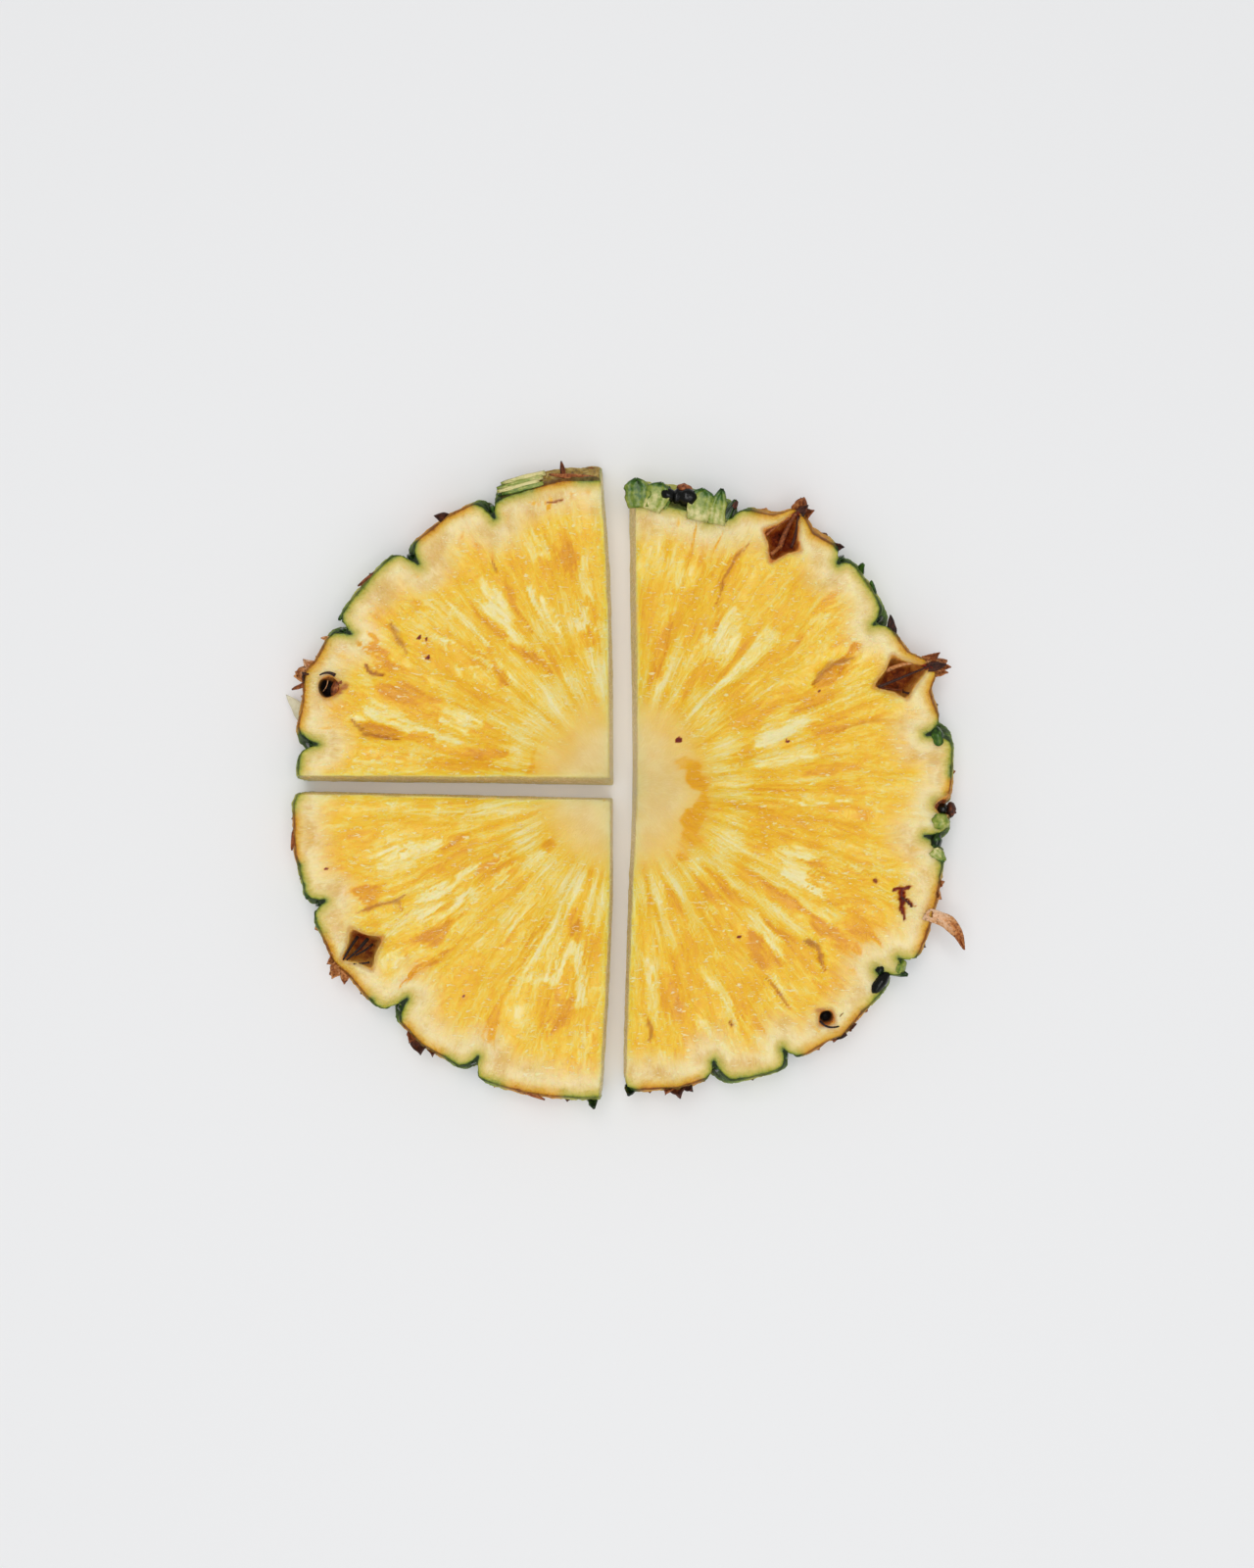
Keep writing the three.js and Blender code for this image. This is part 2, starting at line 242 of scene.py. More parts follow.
    (241.6, 52.8, 241.8, 46, 2.8, 0.85), (239.4, 46.6, 239.6, 28, 1.2, 0.75),
    (242, 46, 241.6, 28, 1, 0.6), (240.8, 44, 240.6, 30, 0.6, -0.5), (253.6, 47.6, 253.4, 38, 7, 0.8),
    (253.6, 47.4, 253.4, 44.6, 4, 1), (253.6, 47.2, 253.6, 46.4, 1, -0.9),
    (246.6, 40.2, 251.8, 30.8, 2.4, -0.95), (260.4, 41, 254.8, 31.6, 2.4, -0.95),
    (253, 32.4, 253, 29.6, 3, -0.9), (245.4, 47, 246, 38, 1.2, -0.5), (261.2, 51, 264, 43.6, 1.3, -0.6),
    (253.6, 52.8, 253.6, 49, 8, -0.4), (252.4, 29.2, 252.6, 24, 3.4, 0.85),
    (260.6, 36, 260.2, 27, 2, 0.6), (256, 26.4, 256, 20, 4.6, -0.5), (240, 54.5, 240, 50.5, 6, 0.5),
    (-42, 54.5, -42, 50.5, 6, 0.6), (-31, 53.5, -31, 48, 5, 0.7), (-60, 54.5, -60, 50.5, 6, 0.5),
    (225.8, 46, 226.6, 30, 1.2, -0.35), (-24.9, 57.4, -24.9, 56, 1.5, -1),
]

# Smears that run round the core: middle angle, radius, how many degrees long, width, strength.
coreSmears = [
    (-50, 16, 8, 1.9, 0.8), (-36, 15.2, 30, 2.2, 0.7), (-26, 14, 18, 2.8, 0.9),
    (-8, 14.6, 30, 2.4, 0.75), (8, 13.6, 26, 3, 0.9), (21, 12, 14, 2.6, 0.7), (50, 12.2, 12, 1.8, 0.45),
    (-72, 15.2, 14, 1.4, 0.45), (137, 13.6, 12, 1.6, 0.5), (164, 16.4, 22, 1, 0.6),
    (219.6, 17.4, 7, 2, 0.9), (248, 17.4, 7, 1.3, 0.55), (71, 10.4, 10, 1.2, 0.3),
    (104, 16.4, 12, 1.4, 0.3),
]

# Cracks and pockets: points as angle and radius, width, depth, and how brown they are.
slits = [
    ([(29.1, 47.9), (30.3, 43.8), (28.3, 39.6)], 1.8, 0.45, 0.48),
    ([(30, 46.4), (27.4, 44.6)], 1.6, 0.5, 0.25),
    ([(62.6, 49.8), (63.8, 46.4), (64, 42), (62.4, 37)], 1.1, 0.35, 0.45),
    ([(14.2, 50), (14.8, 45), (15.2, 39)], 1, 0.2, 0.34),
    ([(-42.7, 49.8), (-39.6, 46.2), (-40.4, 43)], 1.5, 0.45, 0.5),
    ([(-53.3, 50.6), (-52.9, 47), (-53.2, 43.4)], 1, 0.3, 0.49),
    ([(-84.3, 46.8), (-83.4, 44.8), (-84.4, 42.2)], 1.6, 0.4, 0.45),
    ([(-20.8, 49.4), (-20.3, 48.8)], 1.7, 0.4, 0.8),
    ([(-65.6, 48), (-65.3, 47.2)], 1.6, 0.3, 0.68),
    ([(120.2, 47.6), (120.5, 45.4)], 1.3, 0.35, 0.45),
    ([(145.2, 51.6), (147, 48.6), (148.2, 46.6)], 2, 0.45, 0.45),
    ([(154.8, 52), (155.8, 50.4), (155.2, 48.2)], 1.6, 0.4, 0.6),
    ([(166.2, 51), (168.6, 48), (168.2, 42)], 1.4, 0.6, 0.5),
    ([(167, 49.6), (167.2, 43)], 3, 0.6, 0.3),
    ([(101.6, 53.7), (102.3, 53.3), (105, 53.5)], 1, 0.25, 0.64),
    ([(205.6, 53.6), (206, 50), (207.2, 46.4), (206.8, 44.8)], 1.2, 0.35, 0.49),
    ([(207.2, 46.2), (209, 46.4), (211, 46)], 1, 0.25, 0.38),
    ([(218.9, 50.4), (217.4, 49.8)], 1.3, 0.25, 0.26),
    ([(221.3, 54), (221.9, 52.2), (223, 48), (223.9, 42.4)], 1.3, 0.3, 0.22),
    ([(139.2, 51), (139.6, 49.8)], 1.8, 0.4, 0.15),
    ([(-21, 53), (-19.4, 55.4)], 1.6, 1, 1),
    ([(-20.4, 54.3), (-22.9, 55.3), (-25.2, 56.6)], 1.35, 1.2, 1),
    ([(-20.3, 54.2), (-21.3, 54.7)], 3, 1, 0.95),
    ([(-21.7, 55.4), (-22.4, 57.2)], 1.2, 0.8, 1),
    ([(57.2, 56.6), (57.4, 60)], 1.7, 0.9, 1),
    ([(21.6, 58), (21.2, 62)], 1.8, 0.9, 1),
    ([(-49.6, 58.2), (-48.2, 59.8)], 3.2, 0, 0.3),
    ([(161.6, 54.6), (160.2, 53.9)], 3, 0, 0.6),
    ([(160.9, 56.9), (160.7, 56)], 9, 0, 0.22),
    ([(-48.2, 54.8), (-49, 54.2)], 2.8, 0, 0.5),
    ([(-22.6, 59.6), (-20.2, 59.8)], 3.6, 0, 0.34),
]

# Dark specks: angle, radius, size across.
specks = [
    (143.7, 45.9, 0.45), (143.3, 44.7, 0.5), (146.3, 42.7, 0.8), (39.6, 13.3, 0.9), (25.7, 39.6, 0.7),
    (232.9, 47.8, 0.6), (-52.4, 34.7, 0.5), (195.7, 56, 0.5), (15.2, 31, 0.5),
]

# Open eyes cut by the top face: angle and radius.
eyes = [(57, 53.4), (21.4, 54.2), (311.4, 56.1), (356.2, 58.6), (161.3, 56.8), (211.9, 56.2)]

# Eyes with golden walls, partly painted light: angle, radius, size and how golden. Holes painted black as
# shade are given likewise.
goldLitEyes = [(211.9, 57.0, 3.5, 0.85), (21.4, 54.2, 5.0, 0.55)]
# painted shade: the walls over these holes are painted near black
shadedHoles = [(161.9, 57.3, 1.8), (311.4, 56.1, 1.2), (209.6, 55.4, 1.5)]

# Furrows between the fruitlets' lobes: angle at the top face and how far it drifts on its way down.
furrows = [
    (288.2, -2.5), (301.3, 1.5), (324, 3.5), (327.9, 2), (350.6, -2), (356.7, -2), (9.6, 4), (32.8, -4),
    (46, 2.5), (68.1, -2), (72, 1.5), (115.7, -2.5), (132.7, 2.5), (150.8, -2), (172.3, 2.5), (201, 2),
    (224.6, -2.5), (241.8, 2), (270, 0),
]

# Backs of lobes that have turned orange: middle angle and half width.
ripeBacks = [
    (20.5, 9), (56.5, 8.5), (124, 6.5), (162.5, 9.5), (189, 4.5), (213, 7), (231.5, 5), (253.5, 5.5),
    (279, 7), (310.5, 7.5), (337, 7.5), (103, 4), (359, 2.5),
]

# Where the rind has dried brown: middle angle and half width.
dryBacks = [(102, 11.5), (280, 3.0), (312, 2.5), (232, 3.5)]

flesh = {
    "grain": 0.4,  # size of the remeshed faces
    "fibreRelief": 0.16,
    "strokeRelief": 0.12,
    "rindRelief": 0.28,
    "furrowRelief": 0.35,
    "degreeWidth": 0.7,  # millimetres that a degree is given in the fibre pattern
    "fibreWander": 2.2,
    "coreEdge": (10, 19),  # radii between which the core turns into fibres
    "drawnCore": (17, 24),  # inside these radii the strokes and smears keep the shape they are given
    "paleRing": (20.5, 3.2, 0.5),  # radius, width and strength of the paler ring round the core
    "faceEdge": (0.6, 2.0),  # how far from the two cut faces their own pattern fades
    "undersideTurn": 9,  # degrees between the patterns of the two cut faces
    "rindReach": 12,  # how far from the rind, and from the open eyes, distances are worth knowing
    "eyeReach": 6,
    "eyeSize": 6.2,  # the largest eye's radius, and the height that no eye reaches down to
    "eyeFloor": 4.5,
    "bump": (0.38, 0.9),  # height and strength of the finest relief
    "glowDepth": 0.0036,  # how far light goes inside, in metres
}


def sampled(points, scale, seed, octaves=3):
    # Soft noise from -1 to 1 at each point, with the points in millimetres.
    shift = Vector((seed * 17.3, seed * 5.1, seed * 9.7))
    values = [noise.fractal(Vector(p) + shift, 0.7, 2.0, octaves) for p in (points * scale).tolist()]
    return np.array(values)


def eased(value, low, high):
    share = np.clip((value - low) / (high - low), 0, 1)
    return share * share * (3 - 2 * share)


def turned(angle, other):  # signed degrees from other to angle
    return (angle - other + 180) % 360 - 180


def paintTone(angle, radius):
    # Lays the strokes over each other. Both inputs are already warped, so the edges wander.
    tone = np.zeros(len(angle))
    for outerAngle, outer, innerAngle, inner, width, strength in strokes:
        share = np.clip((outer - radius) / max(outer - inner, 0.1), 0, 1)
        aside = np.radians(turned(angle, outerAngle + (innerAngle - outerAngle) * share)) * radius
        beyond = np.maximum(radius - outer, inner - radius) + np.abs(aside) * 0.5
        taper = width * (0.35 + 0.65 * np.sin(np.pi * np.clip(0.15 + 0.7 * share, 0, 1)))
        mask = (1 - eased(np.abs(aside), taper * 0.25, taper * 0.72)) * (1 - eased(beyond, -1.2, 1.8))
        tone += (strength - tone) * mask * abs(strength) ** 0.5
    for middle, ring, spread, width, strength in coreSmears:
        along = np.abs(turned(angle, middle)) / (spread / 2)
        mask = (1 - eased(np.abs(radius - ring), width * 0.2, width * 0.75)) * (1 - eased(along, 0.55, 1.15))
        tone += (strength - tone) * mask * strength
    return tone


def polarPoint(angle, radius):
    return np.array([math.cos(math.radians(angle)), math.sin(math.radians(angle))]) * radius


def awayFrom(places, centre):
    return np.linalg.norm(places - centre, axis=1)


def slitMasks(flat):
    # How deep and how brown each point is from the cracks, pockets and specks of the top face.
    depth, brown = np.zeros(len(flat)), np.zeros(len(flat))
    for points, width, deep, stain in slits:
        corners = [polarPoint(*p) for p in points]
        away = np.full(len(flat), 1e9)
        for first, last in zip(corners, corners[1:]):
            line = last - first
            share = np.clip((flat - first) @ line / (line @ line), 0, 1)
            away = np.minimum(away, awayFrom(flat, first + share[:, None] * line))
        ends = np.minimum(awayFrom(flat, corners[0]), awayFrom(flat, corners[-1]))
        narrow = width * (0.45 + 0.55 * eased(ends, 0.0, 2.5))
        depth = np.maximum(depth, deep * (1 - eased(away, narrow * 0.1, narrow * 0.9)))
        brown = np.maximum(brown, stain * 0.8 * (1 - eased(away, narrow * 0.1, narrow * 0.75)))
    for angle, radius, size in specks:
        away = awayFrom(flat, polarPoint(angle, radius))
        brown = np.maximum(brown, 1 - eased(away, size * 0.3, size * 0.8))
    return depth, brown


def distances(tree, points, reach):
    found = (tree.find_nearest(p, reach * mm) for p in (points * mm).tolist())
    return np.array([reach if hit[3] is None else hit[3] / mm for hit in found])


def setNumbers(mesh, name, values):
    layer = mesh.attributes.new(name, "FLOAT", "POINT")
    layer.data.foreach_set("value", np.ascontiguousarray(values, dtype=np.float32))


def carveWedge(name, node):
    # Merges the frame's triangles, sorts its faces, remeshes it finely and carves the surface.
    source = bmesh.new()
    source.from_mesh(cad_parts[node].data)
    bmesh.ops.remove_doubles(source, verts=source.verts, dist=1e-6)
    source.faces.ensure_lookup_table()
    core = Vector((*coreAt, 0)) * mm
    rindFaces, eyeFaces = source.copy(), source.copy()
    for bm, wanted in ((rindFaces, "rind"), (eyeFaces, "eye")):
        bmesh.ops.delete(bm, geom=[f for f in bm.faces if sortFace(f, core) != wanted], context="FACES")
    rindTree, eyeTree = BVHTree.FromBMesh(rindFaces), BVHTree.FromBMesh(eyeFaces)
    mesh = bpy.data.meshes.new(name)
    source.to_mesh(mesh)
    for bm in (source, rindFaces, eyeFaces):
        bm.free()

    piece = bpy.data.objects.new(name, mesh)
    bpy.context.scene.collection.objects.link(piece)
    remesh = piece.modifiers.new("grain", "REMESH")
    remesh.mode, remesh.voxel_size, remesh.adaptivity = "VOXEL", flesh["grain"] * mm, 0
    graph = bpy.context.evaluated_depsgraph_get()
    fine = bpy.data.meshes.new_from_object(piece.evaluated_get(graph))
    piece.modifiers.clear()
    piece.data = fine
    bpy.data.meshes.remove(mesh)
    fine.name = name
    carve(fine, rindTree, eyeTree)
    fine.shade_smooth()
    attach(piece, "root")
    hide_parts(node)
    return piece


def sortFace(face, core):
    # "rind" for the outer wall, "eye" for the pits, "cut" for everything that the knife made.
    place = face.calc_center_median() - core
    normal = face.normal
    flat = Vector((place.x, place.y))
    if abs(normal.z) > 0.96:  # the two level faces
        return "cut"
    for eyeAngle, eyeRadius in eyes:
        offset = Vector(polarPoint(eyeAngle, eyeRadius)) * mm - flat
        inside = Vector((normal.x, normal.y)).dot(offset) > 0
        if offset.length < flesh["eyeSize"] * mm and place.z > flesh["eyeFloor"] * mm and inside:
            return "eye"
    outward = normal.x * flat.x + normal.y * flat.y
    if outward > 0.35 * flat.length and flat.length > 40 * mm:
        return "rind"
    if flat.length > 50.5 * mm and abs(normal.z) < 0.9:  # the knife's walls are straight, the rind isn't
        nearCut = min(abs(place.x), abs(place.y)) < 5.2 * mm
        straight = max(abs(normal.x), abs(normal.y)) > 0.985
        return "cut" if nearCut and straight else "rind"
    return "cut"


def carve(mesh, rindTree, eyeTree):
    count = len(mesh.vertices)
    at = np.empty(count * 3)
    normal = np.empty(count * 3)
    mesh.vertices.foreach_get("co", at)
    mesh.vertices.foreach_get("normal", normal)
    at, normal = at.reshape(-1, 3) / mm, normal.reshape(-1, 3)

    toRind = distances(rindTree, at, flesh["rindReach"])
    toEye = distances(eyeTree, at, flesh["eyeReach"])
    flat = at[:, :2] - coreAt
    radius = np.linalg.norm(flat, axis=1)
    angle = np.degrees(np.arctan2(flat[:, 1], flat[:, 0]))
    if flat[:, 0].mean() < 0:
        angle %= 360
    height = at[:, 2]
    down = 1 - height / topAt

    close, wide = flesh["faceEdge"]
    upper = eased(height, topAt - wide, topAt - close)  # the top face and its edges
    lower = 1 - eased(height, close, wide)
    level = np.abs(normal[:, 2]) ** 2
    inner = eased(radius, *flesh["coreEdge"])  # the fibres fade into the core

    # fibres run out from the core and wander a little
    along = np.stack([radius * 0.05, angle * 0.10, height * 0.10], 1)
    wander = sampled(along, 1.0, 1) * flesh["fibreWander"]
    here = np.stack([flat[:, 0], flat[:, 1], height], 1)
    drift = sampled(here, 0.12, 2)
    turnedAngle = angle + wander * inner * 0.9 + lower * flesh["undersideTurn"]
    reached = radius + drift * 1.6
    fibres = np.stack([reached, turnedAngle * flesh["degreeWidth"], height], 1)
    streaks = sampled(fibres * (0.10, 1.0, 0.5), 0.9, 3)
    fine = sampled(fibres * (0.16, 1.0, 0.6), 2.0, 4)

    torn = sampled(fibres * (0.22, 0.9, 0.5), 0.55, 8)
    far = eased(radius, *flesh["drawnCore"])
    warped = turnedAngle + (streaks * 1.1 + torn * 1.6) * far
    painted = paintTone(warped, reached + (fine * 1.6 + torn * 3.0) * (0.12 + 0.88 * far))
    painted *= 1 + (0.55 * streaks + 0.3 * fine) * far
    ring, ringWidth, paleness = flesh["paleRing"]
    painted -= paleness * np.exp(-((radius - ring) / ringWidth) ** 2) * (1 - np.abs(painted).clip(0, 1))
    # the cut walls show the same kind of pattern, but none of the strokes
    loose = sampled(fibres * (0.07, 0.5, 0.5), 0.8, 5) * 1.3
    shown = np.maximum(upper * level, lower * level)
    pools = sampled(here + np.stack([fine, streaks, fine], 1), 0.2, 7)
    tone = painted * shown + loose * (1 - shown)
    rays = sampled(fibres * (0.035, 0.42, 0.3), 0.9, 9) * (1 - eased(radius, 30, 46)) * inner
    pools *= 0.4 * (1 - np.abs(tone).clip(0, 1))
    tone += (streaks * 0.32 + fine * 0.16 + rays * 0.7 + pools) * inner

    depth, brown = slitMasks(flat + np.stack([fine, streaks], 1) * 0.45)
    depth, brown = depth * upper * level, brown * upper

    # the rind: furrows, ripe backs and wrinkles
    furrow = np.full(count, 99.0)
    for furrowAngle, furrowDrift in furrows:
        furrow = np.minimum(furrow, np.abs(turned(angle, furrowAngle + furrowDrift * down)))
    furrow = np.radians(furrow) * radius
    ripe = np.zeros(count)
    for middle, half in ripeBacks:
        ripe = np.maximum(ripe, 1 - eased(np.abs(turned(angle, middle + 2 * down)), half * 0.4, half * 1.45))
    ripe *= eased(furrow, 0.4, 3.4)
    skin = 1 - eased(toRind, 0.1, 0.9)
    dry = np.zeros(count)
    for middle, half in dryBacks:
        dry = np.maximum(dry, 1 - eased(np.abs(turned(angle, middle)), half * 0.8, half * 1.1))
    warm = np.zeros(count)
    # painted light: the eyes' walls turn lighter gold, partly the flesh's own gold and partly light on lit
    # walls
    for eyeAngle, eyeRadius, size, strength in goldLitEyes:
        away = awayFrom(flat, polarPoint(eyeAngle, eyeRadius))
        warm = np.maximum(warm, strength * (1 - eased(away, size, size + 2.0)))
    # painted shade: near black over the deep holes, carried as negative values
    for eyeAngle, eyeRadius, size in shadedHoles:
        away = awayFrom(flat, polarPoint(eyeAngle, eyeRadius))
        warm -= (1 - eased(away, size - 0.3, size + 0.2)) * (1 - eased(toEye, 0.2, 0.6))
    wrinkles = sampled(here * (1, 1, 1.6), 0.55, 6, 4)
    plain = (1 - skin) * eased(toEye, 0.05, 0.55)  # neither rind nor an eye's wall

    lift = flesh["fibreRelief"] * (streaks * 0.8 + fine * 0.5) * inner * plain
    lift -= flesh["strokeRelief"] * tone * shown * plain
    lift += flesh["rindRelief"] * wrinkles * skin * (1 - level)
    lift -= flesh["furrowRelief"] * skin * (1 - level) * (1 - eased(furrow, 0.2, 1.6))
    lift -= depth
    lift *= 1 - 0.9 * lower * level  # the underside rests flat
    moved = (at + normal * lift[:, None]) * mm
    moved[:, 2] = np.clip(moved[:, 2], 0, None)
    mesh.vertices.foreach_set("co", moved.ravel())

    layer = mesh.attributes.new("fibres", "FLOAT_VECTOR", "POINT")
    layer.data.foreach_set("vector", fibres.astype(np.float32).ravel())
    numbers = {
        "tone": tone, "brown": brown, "toRind": toRind, "toEye": toEye, "furrow": furrow,
        "ripe": ripe, "dry": dry, "warm": warm, "side": 1 - level,
    }
    for name, values in numbers.items():
        setNumbers(mesh, name, values)
    mesh.update()


hues = {
    # places along each ramp and their colours
    "pulp": (
        (0.04, "f8e9b2"), (0.22, "f6de84"), (0.4, "f6d044"),
        (0.57, "f4c222"), (0.78, "efb31e"), (1.0, "e4a018"),
    ),
    "limeEdge": ((0.0, "1c2a0e"), (0.08, "3c5418"), (0.18, "84902c"), (0.38, "bfb44c"), (0.8, "e0ca78")),
    "goldEdge": ((0.0, "4a2008"), (0.07, "8a500c"), (0.18, "c88c18"), (0.42, "e0b23c"), (0.85, "ecd084")),
    "greenSkin": ((0.0, "22321a"), (0.25, "44601f"), (0.6, "7c9434"), (1.0, "aeae4c")),
    "ripeSkin": ((0.2, "9a5412"), (0.5, "d08a24"), (0.8, "e4ac48")),
    "drySkin": ((0.2, "5c4418"), (0.5, "a8842e"), (0.8, "cdb468")),
    "redWall": ((0.25, "200804"), (0.38, "88300c"), (0.52, "c4641a"), (0.78, "ecaa54")),
    # the golden walls' colours, partly painted light on lit walls
    "goldenWall": ((0.2, "2a1006"), (0.38, "944a16"), (0.54, "d0963a"), (0.8, "ecc468")),
    "crack": ((0.12, "e8a41c"), (0.40, "b4620c"), (0.62, "93300c"), (0.8, "76180a")),
    # pairs of plain colours, mixed by a mottle
    "core": ("eed290", "f6e2a8"),
    "nearRind": ("dfbc76", "f4e8bc"),
    "outline": ("1c2a10", "5a2c0e"),
    # single ones
    # painted light: bright gold for the cut walls, standing in for light that shines through the flesh
    "cutWall": "ffe69c",
    # painted highlight colour for the glint dashes
    "juice": "fff2c4",
    # painted shade for the eyes' deep holes
    "blackHole": "140a06",
    "eyeRim": "b8742c",
}


def makeFleshMaterial():
    board = Board("flesh and rind")
    fibres = board.vector("fibres")
    place = board.place()
    radius = board.add("ShaderNodeSeparateXYZ", {}, {0: fibres})
    height = board.add("ShaderNodeSeparateXYZ", {}, {0: place}, 2)
    tone, brown = board.number("tone"), board.number("brown")
    toRind, toEye, warm = board.number("toRind"), board.number("toEye"), board.number("warm")
    furrow, ripe, dry = board.number("furrow"), board.number("ripe"), board.number("dry")

    # flesh: cream, yellow and amber fibres, with pale dashes painted in as highlights where wet cells catch
    # the light
    outside = radius.ease(10.5, 18.5)
    strands = board.speckle(board.stretched(fibres, (0.22, 1.6, 1.2)), 1.2, 4.0, 0.6)
    cells = board.speckle(board.stretched(fibres, (1.0, 2.2, 2.2)), 1.2, 3.0, 0.6)
    # painted highlights: glint dashes that are painted pale cream and also raised a little in the relief
    glints = board.speckle(board.stretched(place, (0.7, 2.0, 1.2)), 1.1, 2.0, 0.5, 1.0)
    glintDashes = (glints + (strands - 0.5) * 0.3).ease(0.60, 0.69) * outside
    mottle = board.speckle(place, 0.16, 3.0, 0.55)
    shade = tone + (strands - 0.5) * 1.8 * outside + (cells - 0.5) * 1.5
    pulp = board.ramp((shade * 0.42 + 0.47).clamped(), *hues["pulp"])
    softCore = board.mixed((mottle + (cells - 0.5) * 0.6).ease(0.3, 0.7), *hues["core"])
    coreMask = (1 - radius.ease(8.0, 19.0)) * (1 - (tone * 1.2).ease(0.25, 0.8))
    pulp = board.mixed(coreMask * 0.9, pulp, softCore)
    nearRind = (1 - (toRind + (mottle - 0.5) * 7.0).ease(2.0, 8.5)) * (1 - (tone * 1.2).ease(0.3, 0.9))
    cloudy = board.mixed((cells * 0.25 + mottle * 0.85).ease(0.38, 0.62), *hues["nearRind"])
    pulp = board.mixed(nearRind * 0.85, pulp, cloudy)
    # painted light: the cut walls are mixed towards a bright gold that stands in for light shining through
    # the flesh
    pulp = board.mixed(board.number("side") * 0.85, pulp, hues["cutWall"])
    # painted highlight: the glint dashes are mixed towards pale cream
    pulp = board.mixed(glintDashes * 0.7, pulp, hues["juice"])

    # under the skin the flesh turns through lime or gold; the skin itself is a thin dark line
    patches = board.speckle(place, 0.45, 4.0, 0.6)
    grit = board.speckle(place, 1.9, 4.0, 0.65)
    reach = toRind * (0.7 + patches * 0.7) + (patches - 0.5) * 0.8 + (grit - 0.5) * 0.25
    limeEdge = board.ramp((reach * 0.5).clamped(), *hues["limeEdge"])
    goldEdge = board.ramp((reach * 0.5).clamped(), *hues["goldEdge"])
    edge = board.mixed((ripe + (patches - 0.5) * 0.5).ease(0.1, 0.9), limeEdge, goldEdge)
    colour = board.mixed(1 - reach.ease(1.2, 2.9), pulp, edge)

    # the rind's own face: green near the furrows, orange on the ripe backs, brown where it dried
    greenSkin = board.ramp((furrow * 0.16 + (patches - 0.5) * 0.9).clamped(), *hues["greenSkin"])
    ripeSkin = board.ramp((patches + (grit - 0.5) * 0.6).clamped(), *hues["ripeSkin"])
    stripes = board.speckle(board.stretched(place, (0.5, 0.5, 0.12)), 2.4, 4.0)
    drySkin = board.ramp((stripes * 1.3 - 0.15).clamped(), *hues["drySkin"])
    skin = board.mixed((ripe + (patches - 0.5) * 0.6).ease(0.15, 0.85), greenSkin, ripeSkin)
    skin = board.mixed((dry + (grit - 0.5) * 0.7).ease(0.3, 0.7), skin, drySkin)
    outline = board.mixed((ripe + (patches - 0.5) * 0.6).ease(0.15, 0.85), *hues["outline"])
    skin = board.mixed(height.ease(10.2, 11.7) * (0.95 - patches * 0.5), skin, outline)
    band = 1 - toRind.ease(0.12, 0.36)
    colour = board.mixed(band, colour, skin)

    # open eyes and cracks
    stain = 1 - (toEye + (patches - 0.5) * 0.3).ease(0.12, 0.42)
    folds = board.speckle(board.stretched(place, (1.0, 1.0, 0.25)), 0.8, 3.0, 0.6, 0.5)
    # painted shade: the walls' colour darkens lower down in the eye, as in a hollow
    depth = (height - 5.0).ease(0.0, 6.5)
    redWall = board.ramp((folds * 0.55 + grit * 0.2 + depth * 0.3).clamped(), *hues["redWall"])
    goldenWall = board.ramp((folds * 0.5 + grit * 0.2 + depth * 0.35).clamped(), *hues["goldenWall"])
    # painted light: golden, lighter walls where the eye is lit, partly the flesh's own gold
    wall = board.mixed(warm, redWall, goldenWall)
    # painted shade: near black over the deep holes
    wall = board.mixed((warm * -1).clamped(), wall, hues["blackHole"])
    rim = (1 - (toEye + (patches - 0.5) * 0.6).ease(0.3, 1.0)) * 0.5
    colour = board.mixed(rim, colour, hues["eyeRim"])
    colour = board.mixed(stain, colour, wall)
    crack = board.ramp(brown, *hues["crack"])
    colour = board.mixed((brown + (grit - 0.5) * 0.4 * brown).ease(0.04, 0.6), colour, crack)

    wet = (1 - band) * (1 - stain)
    rough = 0.6 - wet * 0.34 + (cells - 0.5) * 0.2
    bumps = (strands * 0.6 * outside + cells * 0.7 + glintDashes * 0.35) * wet + (grit + folds * stain) * (1 - wet)
    relief = board.bump(bumps, *flesh["bump"])
    return board.finish(
        BaseColor=colour, Roughness=rough, Normal=relief, SpecularIORLevel=0.45,
        SubsurfaceWeight=1.0, SubsurfaceRadius=(1.0, 0.8, 0.35), SubsurfaceScale=flesh["glowDepth"], IOR=1.38,
    )


fleshMaterial = makeFleshMaterial()
wedgeNames = {"wedge_half": "half", "wedge_upper": "quarter_upper", "wedge_lower": "quarter_lower"}
wedges = []
for wedgeName, wedgeNode in wedgeNames.items():
    wedge = carveWedge(wedgeName, wedgeNode)
    wedge.data.materials.clear()
    wedge.data.materials.append(fleshMaterial)
    wedges.append(wedge)
    print(wedgeName, "carved,", len(wedge.data.polygons), "faces")


blade = {"along": 10, "across": 4, "ragged": 0.3, "mottled": 0.25}
thread = {"sides": 6, "cuts": 7}
bud = {"dented": 0.16, "ribbed": 0.05, "mottled": 0.3}


def spot(angle, radius, height):
    x, y = polarPoint(angle, radius)
    return Vector((x + coreAt[0], y + coreAt[1], height)) * mm


def rindTrees():
    trees = []
    for wedge in wedges:
        bm = bmesh.new()
        bm.from_mesh(wedge.data)
        trees.append(BVHTree.FromBMesh(bm))
        bm.free()
    return trees


def onRind(trees, angle, height):  # the wall's radius there, found from well outside
    outside, reach = 80, 40
    start = spot(angle, outside, height)
    inward = spot(angle, 0, height) - start
    hits = [tree.ray_cast(start, inward.normalized(), reach * mm)[3] for tree in trees]
    return outside - min(hit for hit in hits if hit is not None) / mm


